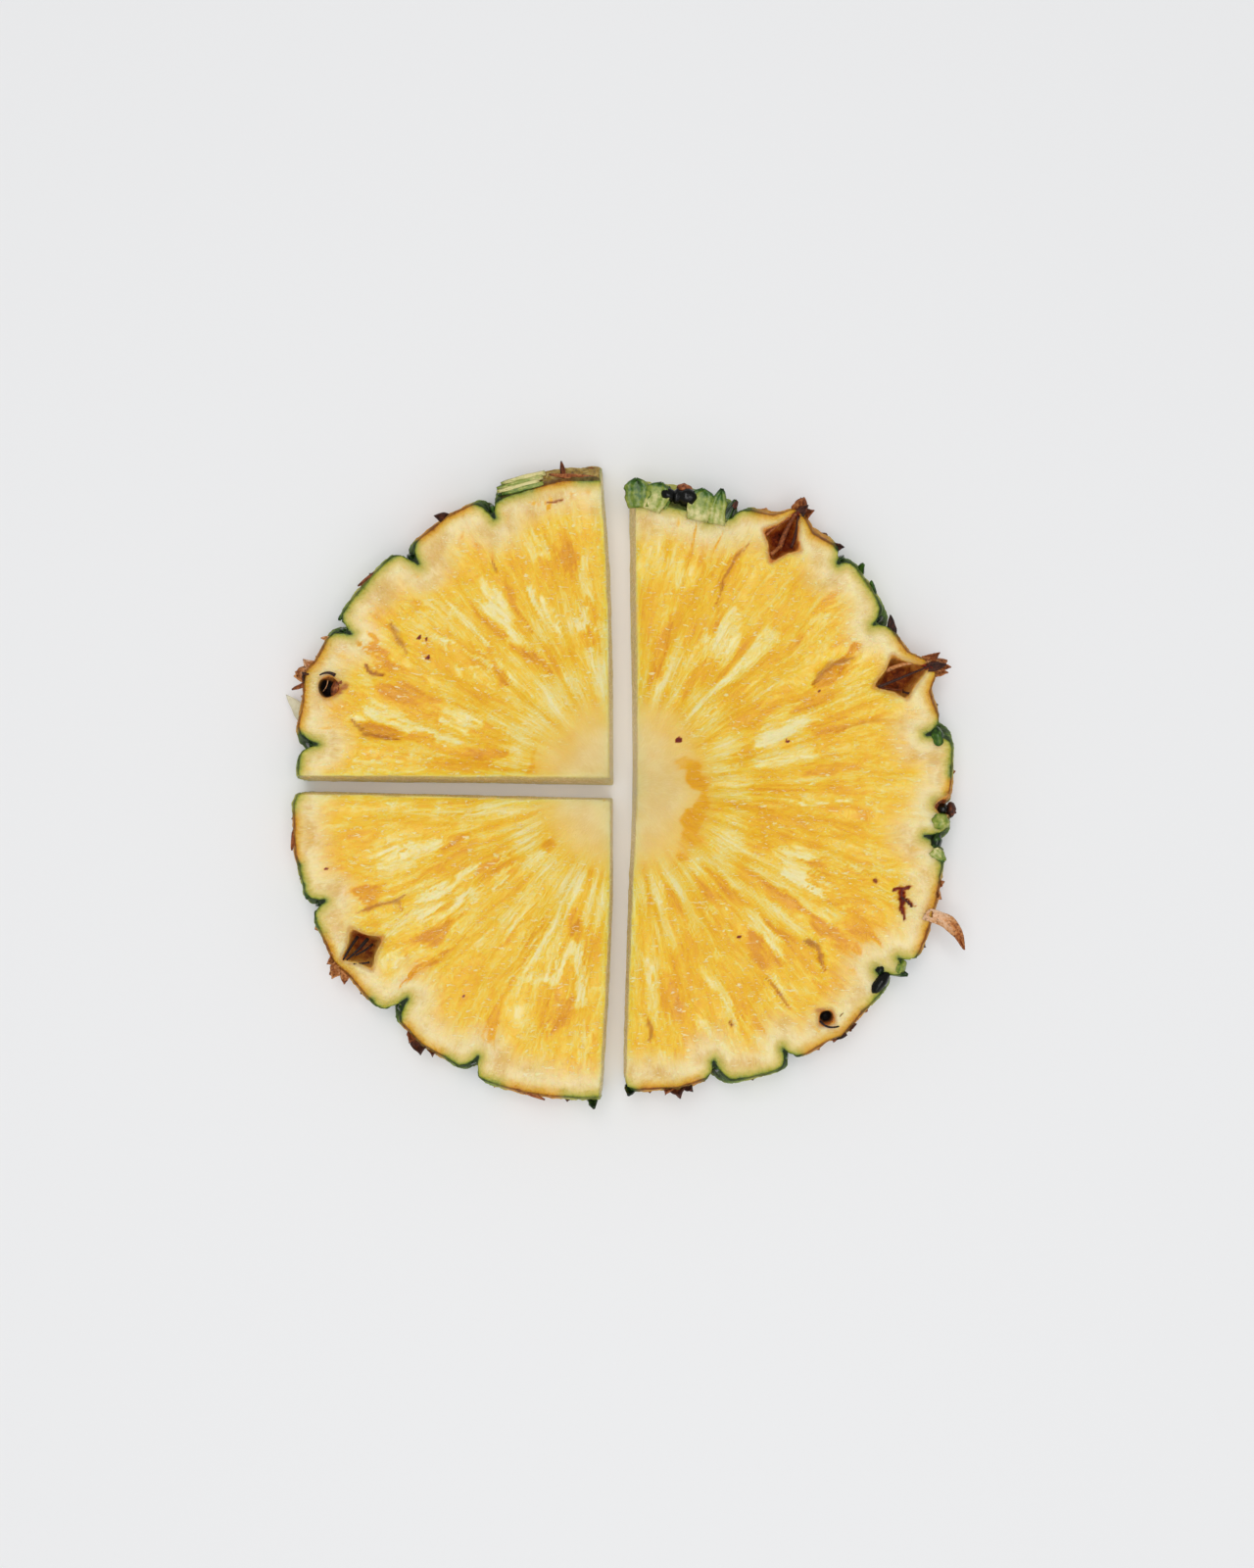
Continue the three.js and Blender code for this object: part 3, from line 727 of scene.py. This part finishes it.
def addBlade(
    bm, root, tip, face, width, shade, tipShade=0.08, blunt=1.8, curl=0.0, bend=0.0, cup=0.25, rough=0.12
):
    # A tapering blade from root to tip, turned towards face. Widths are in millimetres.
    made = bmesh.ops.create_grid(bm, x_segments=blade["along"], y_segments=blade["across"], size=0.5)["verts"]
    layer = bm.verts.layers.float["shade"]
    axis = tip - root
    side = axis.cross(face).normalized()
    out = side.cross(axis).normalized()
    for vert in made:
        along, across = vert.co.x + 0.5, vert.co.y * 2
        half = width / 2 * (1 - along ** blunt) * (0.8 + 0.5 * along)
        half *= 1 + blade["ragged"] * noise.noise(vert.co * 4 + root * 900)
        lift = cup * width * across * across + curl * along * along
        lift += rough * width * noise.noise(vert.co * 5 + root * 1700)
        sideways = half * across + bend * math.sin(math.pi * along)
        mottle = blade["mottled"] * noise.noise(vert.co * 3 + root * 700)
        vert[layer] = min(1.0, shade + tipShade * along * along + mottle)
        vert.co = root + axis * along + (side * sideways + out * lift) * mm


def addThread(bm, start, middle, end, width, endWidth, shade):
    # A thin round thread on a smooth bow through three points.
    rod = bmesh.new()
    layer = rod.verts.layers.float.new("shade")
    bmesh.ops.create_cone(rod, cap_ends=True, segments=thread["sides"], radius1=1, radius2=1, depth=1)
    lengthwise = [e for e in rod.edges if abs(e.verts[0].co.z - e.verts[1].co.z) > 0.5]
    bmesh.ops.subdivide_edges(rod, edges=lengthwise, cuts=thread["cuts"])
    for vert in rod.verts:
        t = vert.co.z + 0.5
        centre = start * (1 - t) ** 2 + middle * 2 * t * (1 - t) + end * t * t
        along = ((middle - start) * (1 - t) + (end - middle) * t).normalized()
        side = along.cross(Vector((0, 0, 1))).normalized()
        size = (width + (endWidth - width) * t) / 2 * mm
        vert.co = centre + (side * vert.co.x + side.cross(along) * vert.co.y) * size
        vert[layer] = shade
    mesh = bpy.data.meshes.new("thread")
    rod.to_mesh(mesh)
    bm.from_mesh(mesh)
    rod.free()
    bpy.data.meshes.remove(mesh)


def addLump(bm, centre, angle, radial, around, tall, shade):
    made = bmesh.ops.create_icosphere(bm, subdivisions=3, radius=1)["verts"]
    layer = bm.verts.layers.float["shade"]
    outward = Vector((*polarPoint(angle, 1), 0))
    aside = Vector((-outward.y, outward.x, 0))
    for vert in made:
        dent = 1 + bud["dented"] * noise.noise(vert.co * 1.7 + centre * 600)
        dent += bud["ribbed"] * math.sin(9 * vert.co.y)
        x, y, z = vert.co * dent
        vert[layer] = shade + bud["mottled"] * noise.noise(vert.co * 2 + centre * 300)
        vert.co = centre + (outward * x * radial + aside * y * around + Vector((0, 0, z * tall))) * mm


def newShadeMesh():
    bm = bmesh.new()
    bm.verts.layers.float.new("shade")
    return bm


def finishPiece(bm, name, material, thickness=None):
    bmesh.ops.recalc_face_normals(bm, faces=bm.faces)
    mesh = bpy.data.meshes.new(name)
    bm.to_mesh(mesh)
    bm.free()
    mesh.shade_smooth()
    mesh.materials.append(material)
    piece = bpy.data.objects.new(name, mesh)
    bpy.context.scene.collection.objects.link(piece)
    if thickness:
        wall = piece.modifiers.new("wall", "SOLIDIFY")
        wall.thickness, wall.offset = thickness * mm, 0
    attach(piece, "root")
    print(name, "made")


dryBract = {
    "thickness": 0.28,
    "rootDepth": 0.7,  # how far the root lies inside the rind
    "ramp": ((0.0, "e8c09a"), (0.22, "cf8f52"), (0.45, "98501e"), (0.72, "4c200e"), (1.0, "140806")),
    "spots": "5a2a14",
}


def makeBractMaterial():
    board = Board("dry bract")
    place = board.place()
    shade = board.number("shade")
    veins = board.speckle(board.stretched(place, (1, 1, 0.4)), 2.2, 4.0, 0.65)
    spots = board.speckle(place, 2.4, 2.0).ease(0.60, 0.66)
    colour = board.ramp((shade + (veins - 0.5) * 0.8).clamped(), *dryBract["ramp"])
    colour = board.mixed(spots * 0.75, colour, dryBract["spots"])
    relief = board.bump(veins + spots * 0.4, 0.2, 0.9)
    return board.finish(BaseColor=colour, Roughness=0.55 + veins * 0.25, Normal=relief)


greenScale = {
    "thickness": 0.6,
    "cup": 0.12,
    "rough": 0.05,
    "rootTop": 11.2,  # roots above this height are measured from the rind at this height
    "ramp": ((0.0, "d8cc8c"), (0.25, "909c40"), (0.5, "40641f"), (0.75, "162a10"), (1.0, "060705")),
    "coat": (0.25, 0.05),  # weight and roughness
    "shine": 0.15,
}


def makeScaleMaterial():
    board = Board("green scale")
    place = board.place()
    shade = board.number("shade")
    veins = board.speckle(board.stretched(place, (1, 1, 0.5)), 1.2, 4.0, 0.6)
    colour = board.ramp((shade + (veins - 0.5) * 0.7).clamped(), *greenScale["ramp"])
    relief = board.bump(veins, 0.2, 0.7)
    coat, coatRoughness = greenScale["coat"]
    return board.finish(
        BaseColor=colour, Roughness=0.18 + veins * 0.2, Normal=relief,
        CoatWeight=coat, CoatRoughness=coatRoughness, SpecularIORLevel=greenScale["shine"],
    )


paleFlake = {
    "root": (168.8, 58.6, 5.0),  # angle, radius and height
    "tip": (164.9, 65.0, 3.0),
    "width": 3.4,
    "thickness": 0.12,
    "colours": ("d8d0a0", "ece8cc"),
}


def makeFlakeMaterial():
    board = Board("pale flake")
    veins = board.speckle(board.place(), 1.4, 3.0, 0.6)
    colour = board.mixed(veins, *paleFlake["colours"])
    relief = board.bump(veins, 0.15)
    return board.finish(BaseColor=colour, Roughness=0.4, Normal=relief, Alpha=0.45 + veins * 0.3)


# Dry bracts: root angle and height, tip angle, tip radius and height, width, which way they face
# and how dark, from straw to burnt.
bracts = {
    "half": [
        (57.6, 9.8, 58.3, 61.6, 12.3, 2.4, "up", 0.4), (56.6, 8.8, 55.2, 61.2, 11.6, 2.6, "up", 0.5),
        (57.1, 11, 56.6, 61.2, 12.4, 2, "up", 0.75), (57.4, 6, 57.9, 61.8, 10, 3.2, "outwards", 0.35),
        (21.6, 10, 19.9, 63.6, 11.8, 2.6, "up", 0.4), (22.3, 9.6, 22.8, 62.6, 12.3, 2.2, "up", 0.45),
        (20.6, 8.2, 19.2, 63, 10.4, 2.6, "up", 0.3), (21.2, 11.2, 20.6, 62.8, 12.6, 1.9, "up", 0.8),
        (21.4, 5.6, 21, 63.2, 9.4, 3.4, "outwards", 0.3),
        (311.2, 9.6, 311.9, 61.2, 11.2, 3.2, "up", 0.85),
        (313.2, 10, 314.4, 60.8, 11.6, 2.4, "up", 0.6), (310.2, 9.2, 309.4, 60.6, 11, 2.2, "up", 0.5),
        (280, 8.6, 280.4, 58, 10.9, 4.6, "up", 0.6), (278.6, 9.6, 277.8, 56.8, 11.5, 2.8, "up", 0.4),
        (281.8, 9.2, 282.8, 57.2, 11, 2.6, "up", 0.8), (355.8, 9, 355.4, 61.2, 10, 2.8, "up", 0.6),
        (340.7, 10, 340.4, 61.6, 11.6, 2.6, "up", 0.25), (342.6, 9.6, 343.4, 61.2, 11.2, 2, "up", 0.3),
        (29.4, 10.2, 32.6, 57.9, 11.3, 1.8, "up", 0.85), (48.6, 10, 47.2, 59.4, 11.2, 1.6, "up", 0.8),
    ],
    "quarter_upper": [
        (159.2, 9.4, 158.4, 62.8, 11.6, 2.4, "up", 0.12),
        (160.6, 9.6, 161.6, 63.4, 11.2, 3.2, "up", 0.22),
        (161.2, 10.4, 160.5, 62, 12.2, 2.6, "up", 0.75), (162, 10, 163.8, 63, 11.2, 0.9, "up", 0.5),
        (160.5, 5.4, 160.8, 63, 9, 3.6, "outwards", 0.3),
        (100.9, 9.8, 100.8, 60.3, 11.4, 1.1, "up", 0.6),
        (95.4, 10.4, 103.4, 58.4, 11.5, 1.2, "up", 0.35),
        (123.2, 9.8, 125, 60.2, 11.2, 2.4, "up", 0.75),
        (153.3, 10.2, 153.9, 61.4, 11.3, 0.9, "up", 0.15),
        (139, 10.6, 143, 60.6, 11.4, 1.2, "up", 0.5),
    ],
    "quarter_lower": [
        (212.2, 9.4, 213.5, 63.8, 11, 3.2, "up", 0.18), (211, 9.8, 211, 63, 12, 2.4, "up", 0.3),
        (213.6, 10.2, 215.4, 62.4, 11.6, 2.2, "up", 0.3),
        (211.8, 11, 212.3, 62.8, 12.4, 1.6, "up", 0.35),
        (212.5, 5.2, 212.8, 63.4, 8.8, 3.4, "outwards", 0.25),
        (231.2, 9.4, 233, 61.5, 11.2, 3.8, "up", 0.75), (229.6, 9.4, 230.2, 61, 11.4, 2.6, "up", 0.5),
        (234, 9.4, 234.8, 60.4, 11.2, 2, "up", 0.55), (250, 10.8, 256, 59, 11.4, 1.1, "up", 0.35),
        (187, 10.4, 191, 61.6, 11.4, 1.2, "up", 0.45),
    ],
}

# Threads in the open eyes: three points as angle, radius and height, width at both ends, how dark.
threads = [
    ((209.6, 56, 9.6), (210.6, 58, 11.6), (211.9, 60.1, 12), 0.7, 0.35, 1.1),
    ((210.9, 54.6, 9.6), (211.8, 56.8, 11.6), (212.2, 59.6, 11.9), 0.8, 0.3, 1.1),
    ((212.3, 54.4, 9.4), (212.6, 55.8, 11.2), (212.3, 57.8, 11.7), 0.6, 0.3, 1.1),
    ((214.8, 56.4, 11.3), (214.3, 57.6, 11.8), (213.4, 58.9, 11.9), 0.4, 0.3, 1.1),
    ((21.2, 49.9, 11.4), (21.2, 55, 10.4), (21.4, 60.6, 11.7), 0.7, 0.3, 0.85),
    ((20.9, 50.4, 11), (19.6, 52.4, 9.6), (18.9, 54.4, 9), 0.5, 0.4, 0.6),
    ((18.6, 54, 10.4), (17.2, 55.6, 11.8), (18.2, 56.4, 10.6), 0.4, 0.5, 0.9),
    ((23.6, 52.6, 9.6), (24, 56, 11.4), (22, 60.4, 11.6), 0.9, 0.5, 0.25),
    ((57.6, 59, 11.7), (57.8, 56, 9.8), (56.6, 52, 8.8), 0.7, 1.2, 0.55),
    ((57, 58.6, 11.8), (55.2, 55.6, 10.6), (54.8, 53.4, 9.8), 0.5, 0.7, 0.8),
    ((58.2, 57.6, 11.4), (60, 54.8, 10.8), (60.2, 52.6, 10.6), 0.8, 0.5, 0.45),
    ((57.4, 50.2, 11.2), (57, 51.6, 10.2), (56.6, 53, 9), 0.9, 0.6, 0.4),
    ((312.8, 57.8, 11.9), (314.6, 57.2, 12), (315.6, 58.6, 11.7), 0.3, 0.25, 0.6),
    ((338.2, 54.6, 11.6), (338, 56, 11.2), (337, 57.6, 11.8), 0.4, 0.3, 0.75),
    ((160, 58.9, 11.9), (158.6, 57.9, 12.1), (159, 56.2, 11.9), 0.25, 0.8, 1),
    ((310, 55.9, 11.7), (309.8, 57.9, 12.2), (312, 58.9, 11.9), 0.5, 0.35, 1),
    # painted highlight: this last, pale thread stands in for light glinting inside the hole
    ((162.5, 57.5, 10.9), (161.4, 56.9, 11.4), (160.3, 57.3, 11), 0.12, 0.18, 0.2),
]

# Glossy scales and buds in the furrows: angle, radius, height, size outwards, round and up, how dark.
lumps = [
    (8.8, 58, 11.2, 1.3, 2, 1.5, 0.55), (350, 58, 11.2, 1.1, 1.6, 1.6, 0.75),
    (353.5, 58.2, 11.3, 1.75, 1.7, 1.6, 0.26), (355.9, 58.6, 10.2, 1.1, 1, 1.9, 1.1),
    (322.6, 59, 11, 1.3, 2.7, 1.9, 1.15), (324.4, 57.6, 11.2, 0.9, 1, 1.3, 0.9),
    (326.6, 60.4, 10.6, 1.2, 1.7, 1.8, 0.35), (81.2, 53.7, 11.6, 1.3, 1.5, 1.6, 1.3),
    (79.4, 53.8, 11.7, 1.4, 1, 1.5, 1.3), (77.5, 53.9, 11.7, 1.6, 2.1, 1.8, 1.3),
    (115.2, 55.6, 8.2, 1.6, 0.7, 3.4, 0.6), (133, 56.7, 8.2, 1.5, 0.8, 3.4, 0.75),
    (150.9, 58.2, 8, 1.2, 0.6, 3.2, 0.7), (172.4, 57.4, 8, 1.3, 0.9, 3.4, 0.8),
    (201.2, 59.4, 8, 1.2, 0.7, 3.4, 0.75), (225.2, 57, 8, 1.5, 1.1, 3.4, 0.7),
    (241.2, 57, 8, 1.4, 0.9, 3.4, 0.7), (288.6, 54.2, 8, 1.2, 0.9, 3.4, 0.7),
    (301, 57.2, 8, 1.3, 0.8, 3.2, 0.6), (33.2, 55.6, 8.2, 1.3, 0.7, 3.2, 0.8),
    (46.2, 57.4, 8.2, 1.2, 0.6, 3.2, 0.7), (68.6, 53.8, 8.8, 1.5, 0.7, 2.8, 0.75),
]

# Dry brown buds, given in the same way.
dryLumps = [
    (78.3, 55.4, 11.4, 0.9, 1.5, 1.3, 0.45), (355.8, 60.2, 9.6, 0.9, 1.4, 2.2, 0.75),
    (356.6, 57, 9.8, 1, 1.5, 1.8, 0.5), (161.2, 55.4, 10.5, 0.9, 1.7, 1.4, 0.52),
    (159.9, 54.9, 10.9, 0.8, 0.8, 1.2, 0.45), (68.4, 55.2, 11, 1, 0.7, 1.1, 0.75),
]

# Fresh green scales: root angle and height and how far the root lies inside the rim, tip angle, radius and
# height, width, which way they face, how dark at the root, how much darker at the tip, and how blunt.
scales = [
    (86.9, 11.8, 1.6, 87.6, 56, 11.9, 4.4, "up", 0.35, 0.3, 6),
    (84, 11.8, 1.8, 82.7, 55.6, 12.3, 4, "up", 0.16, 0.34, 6),
    (82.4, 11.6, 1.4, 81.4, 55.2, 11.6, 2.6, "up", 0.4, 0.3, 4),
    (74.4, 11.8, 2.2, 74.9, 56, 12.2, 4.2, "up", 0.14, 0.4, 8),
    (70.6, 11.8, 2, 71.6, 57, 12.4, 3.6, "up", 0.12, 0.55, 2.2),
    (69.2, 11.6, 1.2, 68.6, 56, 11.6, 1.6, "up", 0.65, 0.2, 2),
    (348.4, 11.8, 1.9, 346.9, 60.2, 12, 2.2, "up", 0.15, 0.3, 3),
    (104.8, 11.6, 0.3, 112.6, 57.6, 12.1, 1, "up", 0.3, 0.2, 3),
    (105.4, 11.4, -0.3, 113.2, 58.3, 12, 1.1, "up", -0.1, 0.2, 3),
    (104.6, 11, -0.9, 113, 58.9, 11.8, 1, "up", 0.15, 0.2, 3),
    (104, 10.6, -1.4, 112, 59.5, 11.4, 1.1, "up", -0.05, 0.2, 3),
    (42, 9, 0.8, 42.7, 59.6, 11.6, 1.8, "outwards", 0.5, 0.08, 1.8),
    (37.6, 9, 0.8, 39.4, 58.6, 11.6, 2.4, "outwards", 0.6, 0.08, 1.8),
    (325.2, 9.4, 0.8, 326.4, 62.4, 11.2, 2.2, "up", 0.65, 0.08, 1.8),
    (264.2, 9, 0.8, 264.8, 59, 11.6, 2, "up", 0.75, 0.08, 1.8),
    (112, 9.2, 0.8, 112.8, 57.6, 11.8, 2.2, "outwards", 0.65, 0.08, 1.8),
    (271.6, 8.8, 0.8, 271, 56.4, 11.6, 2.4, "up", 0.75, 0.08, 1.8),
    (147.6, 9.4, 0.8, 149.6, 60, 11.6, 2.4, "outwards", 0.45, 0.08, 1.8),
    (196, 9.2, 0.8, 199.6, 61.2, 11.4, 2, "outwards", 0.55, 0.08, 1.8),
]

# The long curled bract that hangs off the side.
longBract = {
    "angle": 337.3,
    "rindHeight": 11.4,
    "rootDepth": 1.6,
    "height": 12.0,
    "tip": (334.5, 69.0, 8.6),
    "width": 3.2,
}

# One broad dry scale lies on each lobe's back, from low on the wall to its middle.
sideScale = {
    "angles": [
        275, 284.5, 295, 306, 317, 333, 345, 3, 15, 27, 40, 51, 62,
        97, 109, 124, 141, 156, 165, 186, 195, 206, 218, 233, 248, 259,
    ],
    "low": 1.6,
    "high": 7.2,
    "width": 5.4,
    "lean": 1.2,  # degrees
    "thickness": 0.35,
}


def facing(direction, angle):
    return Vector((0, 0, 1)) if direction == "up" else Vector((*polarPoint(angle, 1), 0.25))


def growBracts():
    trees = rindTrees()
    bractMaterial, scaleMaterial = makeBractMaterial(), makeScaleMaterial()
    upwards = Vector((0, 0, 1))
    for node, blades in bracts.items():
        bm = newShadeMesh()
        for angle, height, tipAngle, tipRadius, tipHeight, width, direction, shade in blades:
            root = spot(angle, onRind(trees, angle, height) - dryBract["rootDepth"], height)
            addBlade(bm, root, spot(tipAngle, tipRadius, tipHeight), facing(direction, angle), width, shade)
        if node == "half":
            rootRadius = onRind(trees, longBract["angle"], longBract["rindHeight"]) - longBract["rootDepth"]
            root, tip = spot(longBract["angle"], rootRadius, longBract["height"]), spot(*longBract["tip"])
            addBlade(bm, root, tip, upwards, longBract["width"], 0.02, 0.5, curl=0.3, bend=-1.5, cup=0.3)
        finishPiece(bm, "bracts_" + node, bractMaterial, dryBract["thickness"])

    bm = newShadeMesh()
    for first, middle, last, width, endWidth, shade in threads:
        addThread(bm, spot(*first), spot(*middle), spot(*last), width, endWidth, shade)
    finishPiece(bm, "eye_threads", bractMaterial)

    for name, slot, buds, material in (
        ("furrow_buds", "rind", lumps, scaleMaterial), ("dry_buds", "bract", dryLumps, bractMaterial),
    ):
        bm = newShadeMesh()
        for angle, radius, height, radial, around, tall, shade in buds:
            addLump(bm, spot(angle, radius, height), angle, radial, around, tall, shade)
        finishPiece(bm, name, material)

    bm = newShadeMesh()
    for angle, height, inset, *tip, width, direction, shade, tipShade, blunt in scales:
        rim = onRind(trees, angle, min(height, greenScale["rootTop"]))
        root, face = spot(angle, rim - inset, height), facing(direction, angle)
        shape = {"blunt": blunt, "cup": greenScale["cup"], "rough": greenScale["rough"]}
        addBlade(bm, root, spot(*tip), face, width, shade, tipShade, **shape)
    finishPiece(bm, "green_scales", scaleMaterial, greenScale["thickness"])

    bm = newShadeMesh()
    low, high = sideScale["low"], sideScale["high"]
    for index, angle in enumerate(sideScale["angles"]):
        tipAngle = angle + sideScale["lean"] * math.sin(index * 2.3)
        root = spot(angle, onRind(trees, angle, low) - 0.5, low)
        tip = spot(tipAngle, onRind(trees, tipAngle, high) + 0.1, high)
        face, shade = facing("outwards", angle), 0.45 + 0.25 * math.sin(index * 4.1)
        addBlade(bm, root, tip, face, sideScale["width"], shade, curl=0.2, cup=-0.06, rough=0.04)
    finishPiece(bm, "side_scales", bractMaterial, sideScale["thickness"])

    bm = newShadeMesh()
    root, tip = spot(*paleFlake["root"]), spot(*paleFlake["tip"])
    addBlade(bm, root, tip, upwards, paleFlake["width"], 0.0, curl=0.4, cup=-0.05)
    finishPiece(bm, "pale_flake", makeFlakeMaterial(), paleFlake["thickness"])


growBracts()


tabletop = {
    "reach": 1.5,  # metres from the middle to each side
    "drop": 0.0001,  # metres below the slice
    "colour": (0.83, 0.835, 0.845, 1),
    "roughness": 0.6,
}


def makeTable():
    bm = bmesh.new()
    bmesh.ops.create_grid(bm, x_segments=1, y_segments=1, size=tabletop["reach"])
    mesh = bpy.data.meshes.new("table")
    bm.to_mesh(mesh)
    bm.free()
    table = bpy.data.objects.new("table", mesh)
    bpy.context.scene.collection.objects.link(table)
    table.location.z = -tabletop["drop"]
    board = Board("pale table")
    mesh.materials.append(board.finish(BaseColor=tabletop["colour"], Roughness=tabletop["roughness"]))


# Soft round lamps aimed at the slice: place and size in metres, power in watts, colour.
lamps = {
    "key": ((-0.2, 0.75, 2.1), 0.8, 5.6, (1.0, 0.99, 0.975)),
    "fill": ((0.05, -0.6, 0.95), 0.9, 1.8, (0.98, 0.99, 1.0)),
    "ceiling": ((0.0, -0.05, 2.1), 1.5, 20.5, (1.0, 1.0, 1.0)),
}
sky = {"colour": (1.0, 1.0, 1.0, 1), "strength": 0.36}


def addLamp(name, place, size, power, colour):
    lamp = bpy.data.objects.new(name, bpy.data.lights.new(name, "AREA"))
    lamp.data.shape, lamp.data.size, lamp.data.energy, lamp.data.color = "DISK", size, power, colour
    lamp.location = place
    bpy.context.scene.collection.objects.link(lamp)
    aimAt(lamp, Vector((0, 0, 0)))


makeTable()
for name, settings in lamps.items():
    addLamp(name, *settings)
world = bpy.data.worlds.new("studio")
world.use_nodes = True
background = world.node_tree.nodes["Background"]
background.inputs["Color"].default_value = sky["colour"]
background.inputs["Strength"].default_value = sky["strength"]
bpy.context.scene.world = world
print("table and lights set")
